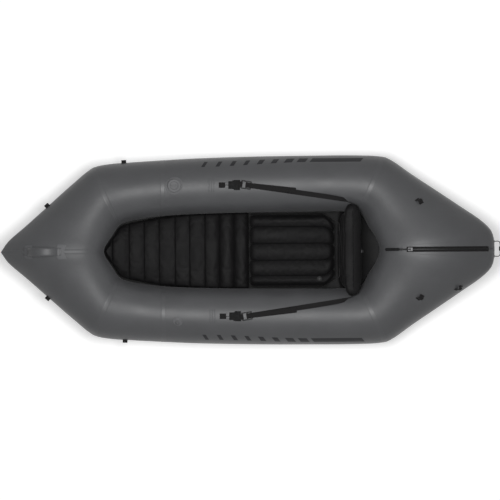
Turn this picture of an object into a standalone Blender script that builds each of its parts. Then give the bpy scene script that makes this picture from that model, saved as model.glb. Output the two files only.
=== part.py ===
# Inflatable packraft seen as it lies ready to use: bow at -X, stern at +X, starboard at +Y, +Z up.
# The hull is a ring of eight welded fabric tube panels round an open cockpit. The floor sheet, the
# baffled mat and seat, the strapped backrest, the zip, the valves and the tie-down loops are set on it.

import math

import bmesh
import bpy
from mathutils import Matrix, Vector

# Hull sizes, metres
HULL_LENGTH = 2.462
HULL_BEAM = 0.944
BOW_DECK = 0.513
STERN_DECK = 0.573
COCKPIT_WIDTH = 0.384
SIDE_TUBE_HEIGHT = 0.283
BOW_HEIGHT = 0.290
STERN_HEIGHT = 0.330
BOW_LIFT = 0.095
STERN_LIFT = 0.050
FABRIC = 0.0006
GAP = 0.0003
RUNNING_GAP = 0.0004
DRAPE_GAP = 0.0005
TAPE_GAP = 0.00045
SEAM_TAPE_WIDTH = 0.024
SEAM_TAPE_THICKNESS = 0.0004
FLOOR_THICKNESS = 0.0012

# Cushion sizes
MAT_THICKNESS = 0.046
MAT_TUCK = 0.022
MAT_BAFFLE = 0.0745
SEAT_LENGTH = 0.430
SEAT_WIDTH = 0.360
SEAT_THICKNESS = 0.088
BACKREST_WIDTH = 0.460
BACKREST_HEIGHT = 0.235
BACKREST_THICKNESS = 0.086
BACKREST_STERN_SPACE = 0.212
BACKREST_SEAT_GAP = 0.0096
BACKREST_BASE = 0.060
BACKREST_BAFFLES = 4
BACKREST_LEAN_DEGREES = 9.0
BACKREST_FORWARD_DEGREES = 15.0
BACKREST_BACK_DEGREES = 5.0
BACKREST_SPARE_DEGREES = 1.0
BACKREST_CLEARANCE = 0.0006
CUSHION_GAP = 0.0008

# Webbing, buckle and patch sizes
WEBBING_WIDTH = 0.025
WEBBING_THICKNESS = 0.0016
STRAP_FRONT_X = -0.026
BUCKLE_Y = 0.3265
STRAP_HEADING_X = 0.5135
STRAP_HEADING_Y = 0.2435
LOWER_WEBBING_X = 0.366
LOWER_WEBBING_REST = 0.042
BAR_CLEARANCE = 0.0007
STRAP_TAIL_LENGTH = 0.226
STRAP_TAIL_SKEW = 0.009
ANCHOR_PATCH_LENGTH = 0.180
ANCHOR_PATCH_WIDTH = 0.080
PATCH_THICKNESS = 0.0005
BRIDGE_LENGTH = 0.018
BUCKLE_LENGTH = 0.052
BUCKLE_WIDTH = 0.042
BUCKLE_THICKNESS = 0.0060
BUCKLE_BAR = 0.0060
BOW_LOOP_X = -0.997
FORE_LOOP_X = -0.616
STERN_LOOP_X = 0.855
STERN_LOOP_Y = 0.238
EDGE_LOOP_X = 1.049
EDGE_LOOP_Y = 0.192
TIE_LOOP_FOOT = 0.009
TIE_LOOP_SPAN = 0.018
TIE_LOOP_RISE = 0.0125
TIE_LOOP_THICKNESS = 0.0020
TIE_LOOP_WIDTH = 0.024

# Grab handle sizes
HANDLE_LENGTH = 0.165
HANDLE_WIDTH = 0.044
HANDLE_RISE = 0.040
HANDLE_THICKNESS = 0.0090
HANDLE_SETBACK = 0.219
HANDLE_PATCH_LENGTH = 0.046
HANDLE_PATCH_WIDTH = 0.088

# Zip sizes
ZIP_BEFORE_CREST = 0.118
ZIP_AFTER_CREST = 0.318
ZIP_TAPE_WIDTH = 0.026
ZIP_TAPE_THICKNESS = 0.0010
ZIP_PATCH_WIDTH = 0.104
ZIP_CHAIN_WIDTH = 0.0064
ZIP_CHAIN_HEIGHT = 0.0026
ZIP_SLIDER_LENGTH = 0.022
ZIP_SLIDER_WIDTH = 0.019
ZIP_SLIDER_WALL = 0.0018
ZIP_STOP_LENGTH = 0.008
ZIP_PULL_LENGTH = 0.080
ZIP_PULL_DIAMETER = 0.0080
ZIP_PIN_DIAMETER = 0.0026

# Valve sizes
MAIN_VALVE_X = -0.364
MAIN_VALVE_Y = 0.325
ORAL_VALVE_X = -0.351
ORAL_VALVE_Y = 0.351
BACKREST_VALVE_Y = -0.008
VALVE_FLANGE_DIAMETER = 0.088
VALVE_NECK_DIAMETER = 0.060
VALVE_NECK_HEIGHT = 0.0110
VALVE_CAP_DIAMETER = 0.066
VALVE_CAP_HEIGHT = 0.0090
ORAL_BASE_DIAMETER = 0.046
ORAL_STEM_DIAMETER = 0.016
ORAL_STEM_HEIGHT = 0.0120
ORAL_TIP_DIAMETER = 0.022
ORAL_TIP_HEIGHT = 0.0140
SMALL_BASE_DIAMETER = 0.026
SMALL_STEM_DIAMETER = 0.010
SMALL_STEM_HEIGHT = 0.0050
SMALL_CAP_DIAMETER = 0.016
SMALL_CAP_HEIGHT = 0.0070

# Stern cord sizes
CORD_DIAMETER = 0.0042
CORD_ANCHOR_Y = 0.037
CORD_REACH = 0.0284
CORD_DROOP = 0.0441
ANCHOR_DIAMETER = 0.016
ANCHOR_HEIGHT = 0.0022
BEAD_DIAMETER = 0.013
BEAD_LENGTH = 0.022

# Counts
RING_SIDES = 24
ROUND_SIDES = 20

HALF_LENGTH = HULL_LENGTH / 2
HALF_BEAM = HULL_BEAM / 2
HALF_COCKPIT = COCKPIT_WIDTH / 2
COCKPIT_FRONT = BOW_DECK - HALF_LENGTH
COCKPIT_BACK = HALF_LENGTH - STERN_DECK
COCKPIT_LENGTH = COCKPIT_BACK - COCKPIT_FRONT
TAPE_TOP = TAPE_GAP + SEAM_TAPE_THICKNESS
FLOOR_LIFT = TAPE_TOP + TAPE_GAP
HULL_BASE = FLOOR_THICKNESS + FLOOR_LIFT

# Plan of the tube ring, bow centreline to stern centreline. Each row is one cross-section: its outer
# end as shares of half the length and half the beam, its inner end as a share of the cockpit's length
# from the cockpit's front and of half its width, the crest as a share of the section from its inner
# end, the height as a share between the side tube's and the bow's or stern's, and the share of the
# flattened centreline section in the shape.
STATION_SHARES = [
    (-1.0000, 0.000, 0.0000, 0.000, 0.390, 1.00, 1.00),
    (-0.9700, 0.113, 0.0050, 0.125, 0.395, 0.98, 0.97),
    (-0.8930, 0.288, 0.0160, 0.260, 0.410, 0.92, 0.86),
    (-0.8000, 0.505, 0.0280, 0.385, 0.440, 0.84, 0.60),
    (-0.7060, 0.722, 0.0400, 0.520, 0.470, 0.75, 0.30),
    (-0.6300, 0.880, 0.0570, 0.680, 0.495, 0.62, 0.08),
    (-0.5680, 0.922, 0.0880, 0.775, 0.500, 0.50, 0.00),
    (-0.4700, 0.942, 0.1450, 0.850, 0.500, 0.28, 0.00),
    (-0.3440, 0.962, 0.2150, 0.915, 0.500, 0.10, 0.00),
    (-0.2000, 0.980, 0.3420, 0.962, 0.500, 0.00, 0.00),
    (0.0300, 0.995, 0.5440, 0.992, 0.500, 0.00, 0.00),
    (0.2600, 1.000, 0.7300, 1.000, 0.500, 0.00, 0.00),
    (0.4500, 0.999, 0.8550, 1.000, 0.500, 0.00, 0.00),
    (0.5550, 0.980, 0.9250, 0.960, 0.500, 0.10, 0.00),
    (0.5980, 0.925, 0.9450, 0.820, 0.498, 0.22, 0.06),
    (0.6650, 0.800, 0.9580, 0.640, 0.490, 0.40, 0.20),
    (0.7650, 0.625, 0.9740, 0.460, 0.475, 0.62, 0.45),
    (0.8700, 0.440, 0.9860, 0.320, 0.458, 0.82, 0.72),
    (0.9450, 0.305, 0.9940, 0.190, 0.444, 0.94, 0.90),
    (0.9870, 0.195, 0.9980, 0.095, 0.436, 0.99, 0.98),
    (0.9985, 0.100, 0.9993, 0.071, 0.434, 1.00, 1.00),
    (1.0000, 0.000, 1.0000, 0.000, 0.434, 1.00, 1.00),
]
FORE_SEAM = 5
MID_SEAM = 8
STERN_SEAM = 13
STERN_END = len(STATION_SHARES) - 1
MID_STATION = 10
BOW_FULLNESS_SHARE = 1.05
STERN_FULLNESS_SHARE = 1.12
BOW_RISE_START_SHARE = -0.33
STERN_RISE_START_SHARE = 0.46
RISE_POWER = 2.0


def clear_scene():
    for item in list(bpy.data.objects):
        bpy.data.objects.remove(item, do_unlink=True)


def make_material(name, colour, roughness, metallic=0.0):
    material = bpy.data.materials.new(name)
    material.use_nodes = True
    shader = material.node_tree.nodes["Principled BSDF"]
    shader.inputs["Base Color"].default_value = (*colour, 1.0)
    shader.inputs["Roughness"].default_value = roughness
    shader.inputs["Metallic"].default_value = metallic
    return material


TUBE_FABRIC = ("tube_fabric", (0.085, 0.086, 0.090), 0.48, 0.0)
CUSHION_FABRIC = ("cushion_fabric", (0.022, 0.022, 0.023), 0.60, 0.0)
WEBBING = ("webbing", (0.016, 0.016, 0.017), 0.80, 0.0)
BLACK_PLASTIC = ("black_plastic", (0.013, 0.013, 0.014), 0.40, 0.0)
GREY_RUBBER = ("grey_rubber", (0.100, 0.101, 0.105), 0.50, 0.0)
SLIDER_METAL = ("slider_metal", (0.55, 0.55, 0.56), 0.32, 1.0)


def add_solid(name, points, faces, finish, smooth=True):
    mesh = bpy.data.meshes.new(name)
    mesh.from_pydata([tuple(p) for p in points], [], faces)
    mesh.update()
    if smooth:
        mesh.shade_smooth()
        mesh.set_sharp_from_angle(angle=math.radians(40))
    solid = bpy.data.objects.new(name, mesh)
    bpy.context.scene.collection.objects.link(solid)
    mesh.materials.append(make_material(name + "_" + finish[0], *finish[1:]))
    return solid


def set_origin(solid, origin):
    """Move a solid's origin to a joint axis and keep its shape where it is."""
    solid.data.transform(Matrix.Translation(-Vector(origin)))
    solid.location = origin


def grid_faces(rows, columns, start, flip, wrap=False):
    """Faces over a grid of points. Both windings fold along the same diagonal."""
    faces = []
    for i in range(rows - 1):
        for j in range(columns if wrap else columns - 1):
            k = (j + 1) % columns
            quad = [start + i * columns + j, start + (i + 1) * columns + j,
                    start + (i + 1) * columns + k, start + i * columns + k]
            faces.append([quad[0], quad[3], quad[2], quad[1]] if flip else quad)
    return faces


def slab(name, lower, upper, finish):
    """A sheet between two matching grids of points, closed along its four edges."""
    rows = len(lower)
    columns = len(lower[0])
    points = [p for row in lower for p in row] + [p for row in upper for p in row]
    top = rows * columns
    faces = grid_faces(rows, columns, 0, False) + grid_faces(rows, columns, top, True)
    rim = [(0, j) for j in range(columns)]
    rim += [(i, columns - 1) for i in range(1, rows)]
    rim += [(rows - 1, j) for j in range(columns - 2, -1, -1)]
    rim += [(i, 0) for i in range(rows - 2, 0, -1)]
    for (i, j), (m, n) in zip(rim, rim[1:] + rim[:1]):
        a = i * columns + j
        b = m * columns + n
        faces.append([a, b, top + b, top + a])
    return outward(add_solid(name, points, faces, finish))


def tube_shell(name, outer, inner, finish):
    """A thin open-ended tube between two stacks of closed rings."""
    rows = len(outer)
    columns = len(outer[0])
    points = [p for row in outer for p in row] + [p for row in inner for p in row]
    core = rows * columns
    faces = grid_faces(rows, columns, 0, False, True) + grid_faces(rows, columns, core, True, True)
    for row in (0, rows - 1):
        for j in range(columns):
            k = (j + 1) % columns
            a = row * columns + j
            b = row * columns + k
            faces.append([a, b, core + b, core + a] if row == 0 else [b, a, core + a, core + b])
    return outward(add_solid(name, points, faces, finish))


def loft(name, rings, finish):
    """A solid through a stack of closed rings, with a fan at each end."""
    columns = len(rings[0])
    points = [p for ring in rings for p in ring]
    faces = grid_faces(len(rings), columns, 0, False, True)
    for row, ring in ((0, rings[0]), (len(rings) - 1, rings[-1])):
        middle = sum((Vector(p) for p in ring), Vector()) / columns
        points.append(middle)
        for j in range(columns):
            faces.append([row * columns + j, row * columns + (j + 1) % columns, len(points) - 1])
    return outward(add_solid(name, points, faces, finish))


def outward(solid):
    mesh = bmesh.new()
    mesh.from_mesh(solid.data)
    bmesh.ops.recalc_face_normals(mesh, faces=mesh.faces)
    mesh.to_mesh(solid.data)
    mesh.free()
    return solid


# Hull surface

def rise(x):
    """Height of the hull's underside above the ground: flat amidships, swept up to bow and stern."""
    bow_start = BOW_RISE_START_SHARE * HALF_LENGTH
    bow_crest = COCKPIT_FRONT - STATION_SHARES[0][4] * BOW_DECK
    stern_start = STERN_RISE_START_SHARE * HALF_LENGTH
    stern_crest = COCKPIT_BACK + STATION_SHARES[-1][4] * STERN_DECK
    if x < bow_start:
        return BOW_LIFT * ((bow_start - x) / (bow_start - bow_crest)) ** RISE_POWER
    if x > stern_start:
        return STERN_LIFT * ((x - stern_start) / (stern_crest - stern_start)) ** RISE_POWER
    return 0.0


def station(index):
    """Outer end, inner end, crest share, height and flatness of one cross-section."""
    out_x, out_y, in_x, in_y, crest, height, flat = STATION_SHARES[index]
    outer = Vector((out_x * HALF_LENGTH, out_y * HALF_BEAM, 0))
    inner = Vector((COCKPIT_FRONT + in_x * COCKPIT_LENGTH, in_y * HALF_COCKPIT, 0))
    end_height = BOW_HEIGHT if index < MID_STATION else STERN_HEIGHT
    tall = SIDE_TUBE_HEIGHT + height * (end_height - SIDE_TUBE_HEIGHT)
    return outer, inner, crest, tall, flat


STATIONS = [station(i) for i in range(len(STATION_SHARES))]
KNOTS = [0.0]
for before, after in zip(STATIONS, STATIONS[1:]):
    KNOTS.append(KNOTS[-1] + ((after[0] + after[1]) / 2 - (before[0] + before[1]) / 2).length)


def mirrored(vector):
    return Vector((vector.x, -vector.y, vector.z))


def station_or_mirror(index):
    """The cross-section at an index, which past the stern centreline is the other side's."""
    if index > STERN_END:
        outer, inner, crest, tall, flat = STATIONS[2 * STERN_END - index]
        return mirrored(outer), mirrored(inner), crest, tall, flat
    return STATIONS[index]


def knot(index):
    if index > STERN_END:
        return 2 * KNOTS[STERN_END] - KNOTS[2 * STERN_END - index]
    return KNOTS[index]


def cross_section(u):
    """The cross-section at a place along the tube, on a smooth curve through the stations."""
    index = min(int(u), STERN_END - 1)
    step = knot(index + 1) - knot(index)
    place = u - index
    here = station_or_mirror(index)
    there = station_or_mirror(index + 1)
    result = []
    for part in range(5):
        start = here[part]
        end = there[part]
        if index > 0:
            start_slope = (end - station_or_mirror(index - 1)[part]) / (knot(index + 1) - knot(index - 1))
        else:
            start_slope = (end - start) / step
        end_slope = (station_or_mirror(index + 2)[part] - start) / (knot(index + 2) - knot(index))
        squared = place * place
        cubed = squared * place
        result.append(start * (2 * cubed - 3 * squared + 1) + end * (3 * squared - 2 * cubed)
                      + start_slope * step * (cubed - 2 * squared + place)
                      + end_slope * step * (cubed - squared))
    return result


def crest_radius(across, half_height, fullness):
    """Radius of the long arc over a flattened section."""
    return fullness * (across * across + half_height * half_height) / (2 * half_height)


def flattened_quarter(across, half_height, radius, share):
    """A point on a quarter of a four-arc oval, from its end at share 0 to its crest at share 1."""
    end_radius = across * across + half_height * half_height - 2 * radius * half_height
    end_radius /= 2 * (across - radius)
    offset = across - end_radius
    turn = math.atan2(offset, radius - half_height)
    crest_part = turn * math.sqrt(radius)
    end_part = (math.pi / 2 - turn) * math.sqrt(end_radius)
    along = share * (crest_part + end_part)
    if along < end_part:
        angle = along / math.sqrt(end_radius)
        return offset + end_radius * math.cos(angle), end_radius * math.sin(angle)
    angle = (crest_part + end_part - along) / math.sqrt(radius)
    return radius * math.sin(angle), half_height - radius + radius * math.cos(angle)


def hull_point(u, turn, inset=0.0):
    """A point of the tube's surface. A turn of 0 is its outer edge, 1 its crest, 2 its inner edge."""
    outer, inner, crest, tall, flat = cross_section(u)
    width = (outer - inner).length
    half_height = tall / 2 - inset
    crest_point = inner + (outer - inner) * crest
    direction = (outer - inner).normalized()
    outer_reach = width * (1 - crest) - inset
    quarter = turn % 4
    below = quarter > 2
    folded = 4 - quarter if below else quarter
    if folded <= 1:
        across = outer_reach
        share = folded
        side = 1
    else:
        across = width * crest - inset
        share = 2 - folded
        side = -1
    angle = share * math.pi / 2
    reach = across * math.cos(angle)
    height = half_height * math.sin(angle)
    if flat > 0:
        fullness = BOW_FULLNESS_SHARE if u < MID_STATION else STERN_FULLNESS_SHARE
        radius = crest_radius(outer_reach, half_height, fullness)
        flat_reach, flat_height = flattened_quarter(across, half_height, radius, share)
        reach += (flat_reach - reach) * flat
        height += (flat_height - height) * flat
    point = crest_point + direction * (side * reach)
    lift = rise(crest_point.x) + HULL_BASE + tall / 2
    point.z = lift - height if below else lift + height
    return point


NUDGE = 0.004


def hull_frame(u, turn):
    """Point, unit vectors along and around the tube, and the outward normal there."""
    point = hull_point(u, turn)
    back = hull_point(max(u - NUDGE, 0.0), turn)
    ahead = hull_point(min(u + NUDGE, STERN_END), turn)
    along = (ahead - back).normalized()
    around = (hull_point(u, turn + NUDGE) - hull_point(u, turn - NUDGE)).normalized()
    normal = along.cross(around).normalized()
    outer, inner = cross_section(u)[:2]
    centre = (outer + inner) / 2
    centre.z = hull_point(u, 0).z
    if normal.dot(point - centre) < 0:
        normal = -normal
    around = (around - normal * around.dot(normal)).normalized()
    along = around.cross(normal).normalized()
    if along.dot(ahead - back) < 0:
        along = -along
    return point, along, around, normal


def locate(x, y):
    """Where on the starboard tube's upper surface a plan position lies."""
    target = Vector((x, y, 0))

    def beside(u):
        outer, inner = cross_section(u)[:2]
        span = outer - inner
        away = target - inner
        return span.x * away.y - span.y * away.x

    low = 0.0
    high = float(STERN_END)
    scan = [STERN_END * i / 200 for i in range(201)]
    for first, second in zip(scan, scan[1:]):
        if beside(first) * beside(second) <= 0:
            outer, inner = cross_section((first + second) / 2)[:2]
            share = (target - inner).dot(outer - inner) / (outer - inner).length_squared
            if -0.05 < share < 1.05:
                low, high = first, second
                break
    rising = beside(high) > beside(low)
    for _ in range(40):
        middle = (low + high) / 2
        if (beside(middle) > 0) == rising:
            high = middle
        else:
            low = middle
    u = (low + high) / 2
    outer, inner = cross_section(u)[:2]
    direction = (outer - inner).normalized()
    wanted = (target - inner).dot(direction)
    low, high = 0.0, 2.0
    for _ in range(40):
        middle = (low + high) / 2
        reach = (hull_point(u, middle) - inner).dot(direction)
        if reach > wanted:
            low = middle
        else:
            high = middle
    return u, (low + high) / 2


def side_of(vector, side):
    """The same vector on the starboard side for 1 and mirrored to port for -1."""
    return Vector((vector.x, vector.y * side, vector.z))


def share_of_width(u, width):
    """The step along the tube that spans a width at a place, in stations."""
    index = min(int(u), STERN_END - 1)
    return width / (KNOTS[index + 1] - KNOTS[index])


def ring(u, inset=0.0, side=1):
    points = []
    for j in range(RING_SIDES):
        point = hull_point(u, 4 * j / RING_SIDES, inset)
        if u < 1 or u > STERN_END - 1:
            point.y = max(point.y, GAP / 2)
        points.append(side_of(point, side))
    return points


def raised_ring(u, lift, side=1):
    points = []
    for j in range(RING_SIDES):
        point, _, _, normal = hull_frame(u, 4 * j / RING_SIDES)
        points.append(side_of(point + normal * lift, side))
    return points


PANELS = [("bow_panel", 0, FORE_SEAM), ("fore_panel", FORE_SEAM, MID_SEAM),
          ("side_panel", MID_SEAM, STERN_SEAM), ("stern_panel", STERN_SEAM, STERN_END)]
SIDES = [("starboard", 1), ("port", -1)]


def panel_places(first, last):
    """Places of a panel's rings: its edges half a gap off the seams, its tapes' edges, its stations."""
    places = []
    if first > 0:
        places += [first + share_of_width(first, GAP / 2), first + share_of_width(first, SEAM_TAPE_WIDTH / 2)]
    else:
        places += [0.0]
    places += list(range(first + 1, last))
    if last < STERN_END:
        places += [last - share_of_width(last - 1, SEAM_TAPE_WIDTH / 2),
                   last - share_of_width(last - 1, GAP / 2)]
    else:
        places += [float(STERN_END)]
    return places


def add_panels():
    for label, first, last in PANELS:
        for side_name, side in SIDES:
            places = panel_places(first, last)
            outer = [ring(u, 0.0, side) for u in places]
            inner = [ring(u, FABRIC, side) for u in places]
            tube_shell(f"{label}_{side_name}", outer, inner, TUBE_FABRIC)


def add_seam_tapes():
    for label, seam in (("fore_seam_tape", FORE_SEAM), ("mid_seam_tape", MID_SEAM),
                        ("stern_seam_tape", STERN_SEAM)):
        for side_name, side in SIDES:
            places = [seam - share_of_width(seam - 1, SEAM_TAPE_WIDTH / 2), seam,
                      seam + share_of_width(seam, SEAM_TAPE_WIDTH / 2)]
            outer = [raised_ring(u, TAPE_TOP, side) for u in places]
            inner = [raised_ring(u, TAPE_GAP, side) for u in places]
            tube_shell(f"{label}_{side_name}", outer, inner, TUBE_FABRIC)


def centre_strip(end, beside, first, last, lift, half_width):
    """Rows of points across the centreline, at the turns of the panels' own corners."""
    rows = []
    for j in range(first, last + 1):
        turn = 4 * j / RING_SIDES
        middle, _, _, normal = hull_frame(end, turn)
        middle.y = 0
        normal = Vector((normal.x, 0, normal.z)).normalized()
        next_corner, _, _, next_normal = hull_frame(beside, turn)
        share = half_width / next_corner.y
        edge = middle.lerp(next_corner, share) + normal.lerp(next_normal, share).normalized() * lift
        rows.append([side_of(edge, -1), middle + normal * lift, edge])
    return rows


BOW_TAPE_CORNERS = (-4, 19)
STERN_TAPE_CORNERS = (9, 25)


def add_centre_tapes():
    """Tapes over the bow's centre seam, and over the stern's from below the zip round to its front."""
    half = SEAM_TAPE_WIDTH / 2
    for name, end, beside, corners in (("bow_centre_tape", 0, 1, BOW_TAPE_CORNERS),
                                       ("stern_centre_tape", STERN_END, STERN_END - 1, STERN_TAPE_CORNERS)):
        lower = centre_strip(end, beside, *corners, TAPE_GAP, half)
        upper = centre_strip(end, beside, *corners, TAPE_TOP, half)
        slab(name, lower, upper, TUBE_FABRIC)


# Floor and cushions

def floor_places():
    """Places of the floor's rows: the panels' own rings, so that the sheet follows their facets."""
    places = [float(u) for u in range(1, STERN_END)]
    for seam in (FORE_SEAM, MID_SEAM, STERN_SEAM):
        places.append(seam - share_of_width(seam - 1, SEAM_TAPE_WIDTH / 2))
        places.append(seam + share_of_width(seam, SEAM_TAPE_WIDTH / 2))
    return [FLOOR_END_SHARE] + sorted(places) + [STERN_END - FLOOR_END_SHARE]


FLOOR_LAP_COUNT = 2
FLOOR_END_SHARE = 0.3
FLOOR_SPAN_COUNT = 2


def add_floor():
    """The floor sheet under the tubes, lapped up on their outer undersides."""
    lower = []
    upper = []
    for u in floor_places():
        lap = [3 + 4 * k / RING_SIDES for k in range(FLOOR_LAP_COUNT, -1, -1)]
        top_row = []
        low_row = []
        for turn in lap:
            point, _, _, normal = hull_frame(u, turn)
            if turn == 3:
                normal = Vector((0, 0, -1))
            top_row.append(point + normal * FLOOR_LIFT)
            low_row.append(point + normal * (FLOOR_LIFT + FLOOR_THICKNESS))
        for row, store in ((top_row, upper), (low_row, lower)):
            edge = row[-1]
            span = [Vector((edge.x, edge.y * (1 - 2 * k / FLOOR_SPAN_COUNT), edge.z))
                    for k in range(1, FLOOR_SPAN_COUNT)]
            store.append(row + span + [side_of(p, -1) for p in row[::-1]])
    slab("hull_floor", lower, upper, TUBE_FABRIC)


def floor_top(x):
    """Height of the floor sheet's upper side on the centreline, straight between its rows."""
    known = []
    for u in floor_places():
        point = hull_point(u, 3)
        known.append((point.x, point.z - FLOOR_LIFT))
    for (x0, z0), (x1, z1) in zip(known, known[1:]):
        if x0 <= x <= x1:
            return z0 + (z1 - z0) * (x - x0) / (x1 - x0)
    return known[0][1] if x < known[0][0] else known[-1][1]


INNER_EDGE = [hull_point(u, 2) for _, first, last in PANELS for u in panel_places(first, last)]


def cockpit_half_width(x):
    """Half the width between the tubes' inner edges at a place along the cockpit."""
    for before, after in zip(INNER_EDGE, INNER_EDGE[1:]):
        if before.x <= x <= after.x and before.x < after.x:
            return before.y + (after.y - before.y) * (x - before.x) / (after.x - before.x)
    return 0.0


def bulge(share, drop_share):
    """Height of a rounded baffle across its width, from its groove at share 0 and 1 to its crest."""
    return 1 - drop_share * (1 - math.sqrt(max(0.0, 1 - (2 * share - 1) ** 2)))


BACKREST_FRONT = COCKPIT_BACK - BACKREST_STERN_SPACE
SEAT_FRONT = BACKREST_FRONT - BACKREST_SEAT_GAP - SEAT_LENGTH
MAT_LENGTH = SEAT_FRONT - 8 * GAP - COCKPIT_FRONT
MAT_STEPS = 5
MAT_GROOVE_SHARE = 0.32
MAT_SECTION_SHARES = [(-0.93, 0.0), (-1.0, 0.30), (-0.985, 0.66), (-0.88, 0.92), (-0.60, 1.0), (0.0, 1.02),
                      (0.60, 1.0), (0.88, 0.92), (0.985, 0.66), (1.0, 0.30), (0.93, 0.0), (0.0, 0.0)]


def add_mat():
    """The floor mat: cross baffles whose outline follows the cockpit and tucks under the tubes."""
    front = COCKPIT_FRONT + GAP
    count = round(MAT_LENGTH / MAT_BAFFLE)
    rings = []
    for step in range(count * MAT_STEPS + 1):
        share = step / (count * MAT_STEPS)
        x = front + MAT_LENGTH * share
        crest = bulge((step % MAT_STEPS) / MAT_STEPS, MAT_GROOVE_SHARE)
        if step in (0, count * MAT_STEPS):
            crest = 1 - 2 * MAT_GROOVE_SHARE
        half = cockpit_half_width(x) + MAT_TUCK
        half -= (1 - crest) * MAT_THICKNESS / 4
        base = floor_top(x) + CUSHION_GAP
        rings.append([Vector((x, half * across, base + MAT_THICKNESS * crest * up))
                      for across, up in MAT_SECTION_SHARES])
    loft("floor_mat", rings, CUSHION_FABRIC)


SEAT_TUBES = 5
SEAT_STEPS = 5
SEAT_GROOVE_SHARE = 0.24
SEAT_END_SHARES = [(0.0, 0.40, 0.955), (0.012, 0.66, 0.98), (0.04, 0.86, 0.995), (0.10, 0.97, 1.0),
                   (0.30, 1.0, 0.995), (0.50, 1.0, 0.99), (0.70, 1.0, 0.995), (0.90, 0.97, 1.0),
                   (0.96, 0.86, 0.995), (0.988, 0.66, 0.98), (1.0, 0.40, 0.955)]
SEAT_BASE = FLOOR_THICKNESS + CUSHION_GAP


def add_seat():
    """The seat cushion: five lengthwise tubes welded side by side, with rounded ends."""
    rings = []
    for along, tall, wide in SEAT_END_SHARES:
        x = SEAT_FRONT + SEAT_LENGTH * along
        half = SEAT_WIDTH / 2 * wide
        middle = SEAT_BASE + SEAT_THICKNESS / 2
        swell = SEAT_THICKNESS / 2 * tall
        count = SEAT_TUBES * SEAT_STEPS
        upper = []
        lower = []
        for step in range(count + 1):
            across = -1 + 2 * step / count
            crest = bulge((step % SEAT_STEPS) / SEAT_STEPS, SEAT_GROOVE_SHARE)
            if step in (0, count):
                upper.append(Vector((x, half * across, middle)))
                continue
            upper.append(Vector((x, half * across, middle + swell * crest)))
            if step % SEAT_STEPS == 0 or step in (1, count - 1) or step % SEAT_STEPS == 2:
                low = 1.0 if step not in (1, count - 1) else 0.8
                lower.append(Vector((x, half * across, middle - swell * low)))
        rings.append(upper + lower[::-1])
    loft("seat_cushion", rings, CUSHION_FABRIC)


BACKREST_LEAN = math.radians(BACKREST_LEAN_DEGREES)
BACKREST_STEPS = 5
BACKREST_RING = 20
BACKREST_GROOVE_SHARE = 0.26
BACKREST_CROWN_SHARE = 0.16
BACKREST_SHOULDER_SHARE = 0.10
BACKREST_PIVOT = Vector((BACKREST_FRONT + BACKREST_THICKNESS / 2, 0, BACKREST_BASE))


def tube_inner_edge(x, z):
    """Half the free width between the side tubes at a place along the cockpit and a height."""
    outer, inner, crest, tall, _ = STATIONS[STERN_SEAM - 1]
    reach = (outer.y - inner.y) * crest
    middle = HULL_BASE + tall / 2
    if z > middle + tall / 2:
        return HALF_BEAM
    level = min(abs(z - middle) / (tall / 2), 1.0)
    return cockpit_half_width(x) + reach * (1 - math.sqrt(1 - level * level))


def backrest_place(height, deep, tilt):
    """A point of the backrest's middle plane: up it from its hinge and through its thickness."""
    return BACKREST_PIVOT + Vector((deep * math.cos(tilt) + height * math.sin(tilt), 0,
                                    height * math.cos(tilt) - deep * math.sin(tilt)))


def backrest_ring():
    """The backrest's level section: shares of its half width and half thickness."""
    shares = []
    for j in range(BACKREST_RING):
        angle = 2 * math.pi * j / BACKREST_RING
        shares.append((math.copysign(abs(math.cos(angle)) ** 0.35, math.cos(angle)),
                       math.copysign(abs(math.sin(angle)) ** 0.75, math.sin(angle))))
    return shares


def backrest_half_width(height):
    """Half the backrest's width at a height on it: squeezed by the tubes through all of its tilt."""
    over = max(0.0, height / BACKREST_HEIGHT - (1 - BACKREST_CROWN_SHARE)) / BACKREST_CROWN_SHARE
    crown = math.sqrt(max(0.0, 1 - over * over))
    half = BACKREST_WIDTH / 2 * (1 - BACKREST_SHOULDER_SHARE + BACKREST_SHOULDER_SHARE * crown)
    for turned_by in (-BACKREST_FORWARD_DEGREES, 0.0, BACKREST_BACK_DEGREES + BACKREST_SPARE_DEGREES):
        for across, deep in backrest_ring():
            if across > 0:
                place = backrest_place(height, deep * BACKREST_THICKNESS / 2,
                                       BACKREST_LEAN + math.radians(turned_by))
                half = min(half, (tube_inner_edge(place.x, place.z) - BACKREST_CLEARANCE) / across)
    return half


def backrest_crest(step):
    """The share of the full thickness at a row of the backrest, from its foot to its top seam."""
    count = BACKREST_BAFFLES * BACKREST_STEPS
    if step == 0:
        return 0.50
    if step == count:
        return 0.30
    crest = bulge((step % BACKREST_STEPS) / BACKREST_STEPS, BACKREST_GROOVE_SHARE)
    return crest * 0.86 if step == count - 1 else crest


def add_backrest():
    """The backrest cushion: four level baffles, squeezed between the tubes and wide at its top."""
    rings = []
    count = BACKREST_BAFFLES * BACKREST_STEPS
    for step in range(count + 1):
        height = BACKREST_HEIGHT * step / count
        half = backrest_half_width(height)
        thick = BACKREST_THICKNESS / 2 * backrest_crest(step)
        rings.append([backrest_place(height, deep * thick, BACKREST_LEAN) + Vector((0, across * half, 0))
                      for across, deep in backrest_ring()])
    set_origin(loft("backrest", rings, CUSHION_FABRIC), BACKREST_PIVOT)


# Fittings on the tubes

def wrapped(u, turn, along, around, lift):
    """A point a distance along and around the tube from a place on it, raised off its surface."""
    reach_along = (hull_point(u + NUDGE, turn) - hull_point(u - NUDGE, turn)).length / (2 * NUDGE)
    reach_around = (hull_point(u, turn + NUDGE) - hull_point(u, turn - NUDGE)).length / (2 * NUDGE)
    point, _, _, normal = hull_frame(u + along / reach_along, turn + around / reach_around)
    return point + normal * lift


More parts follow.
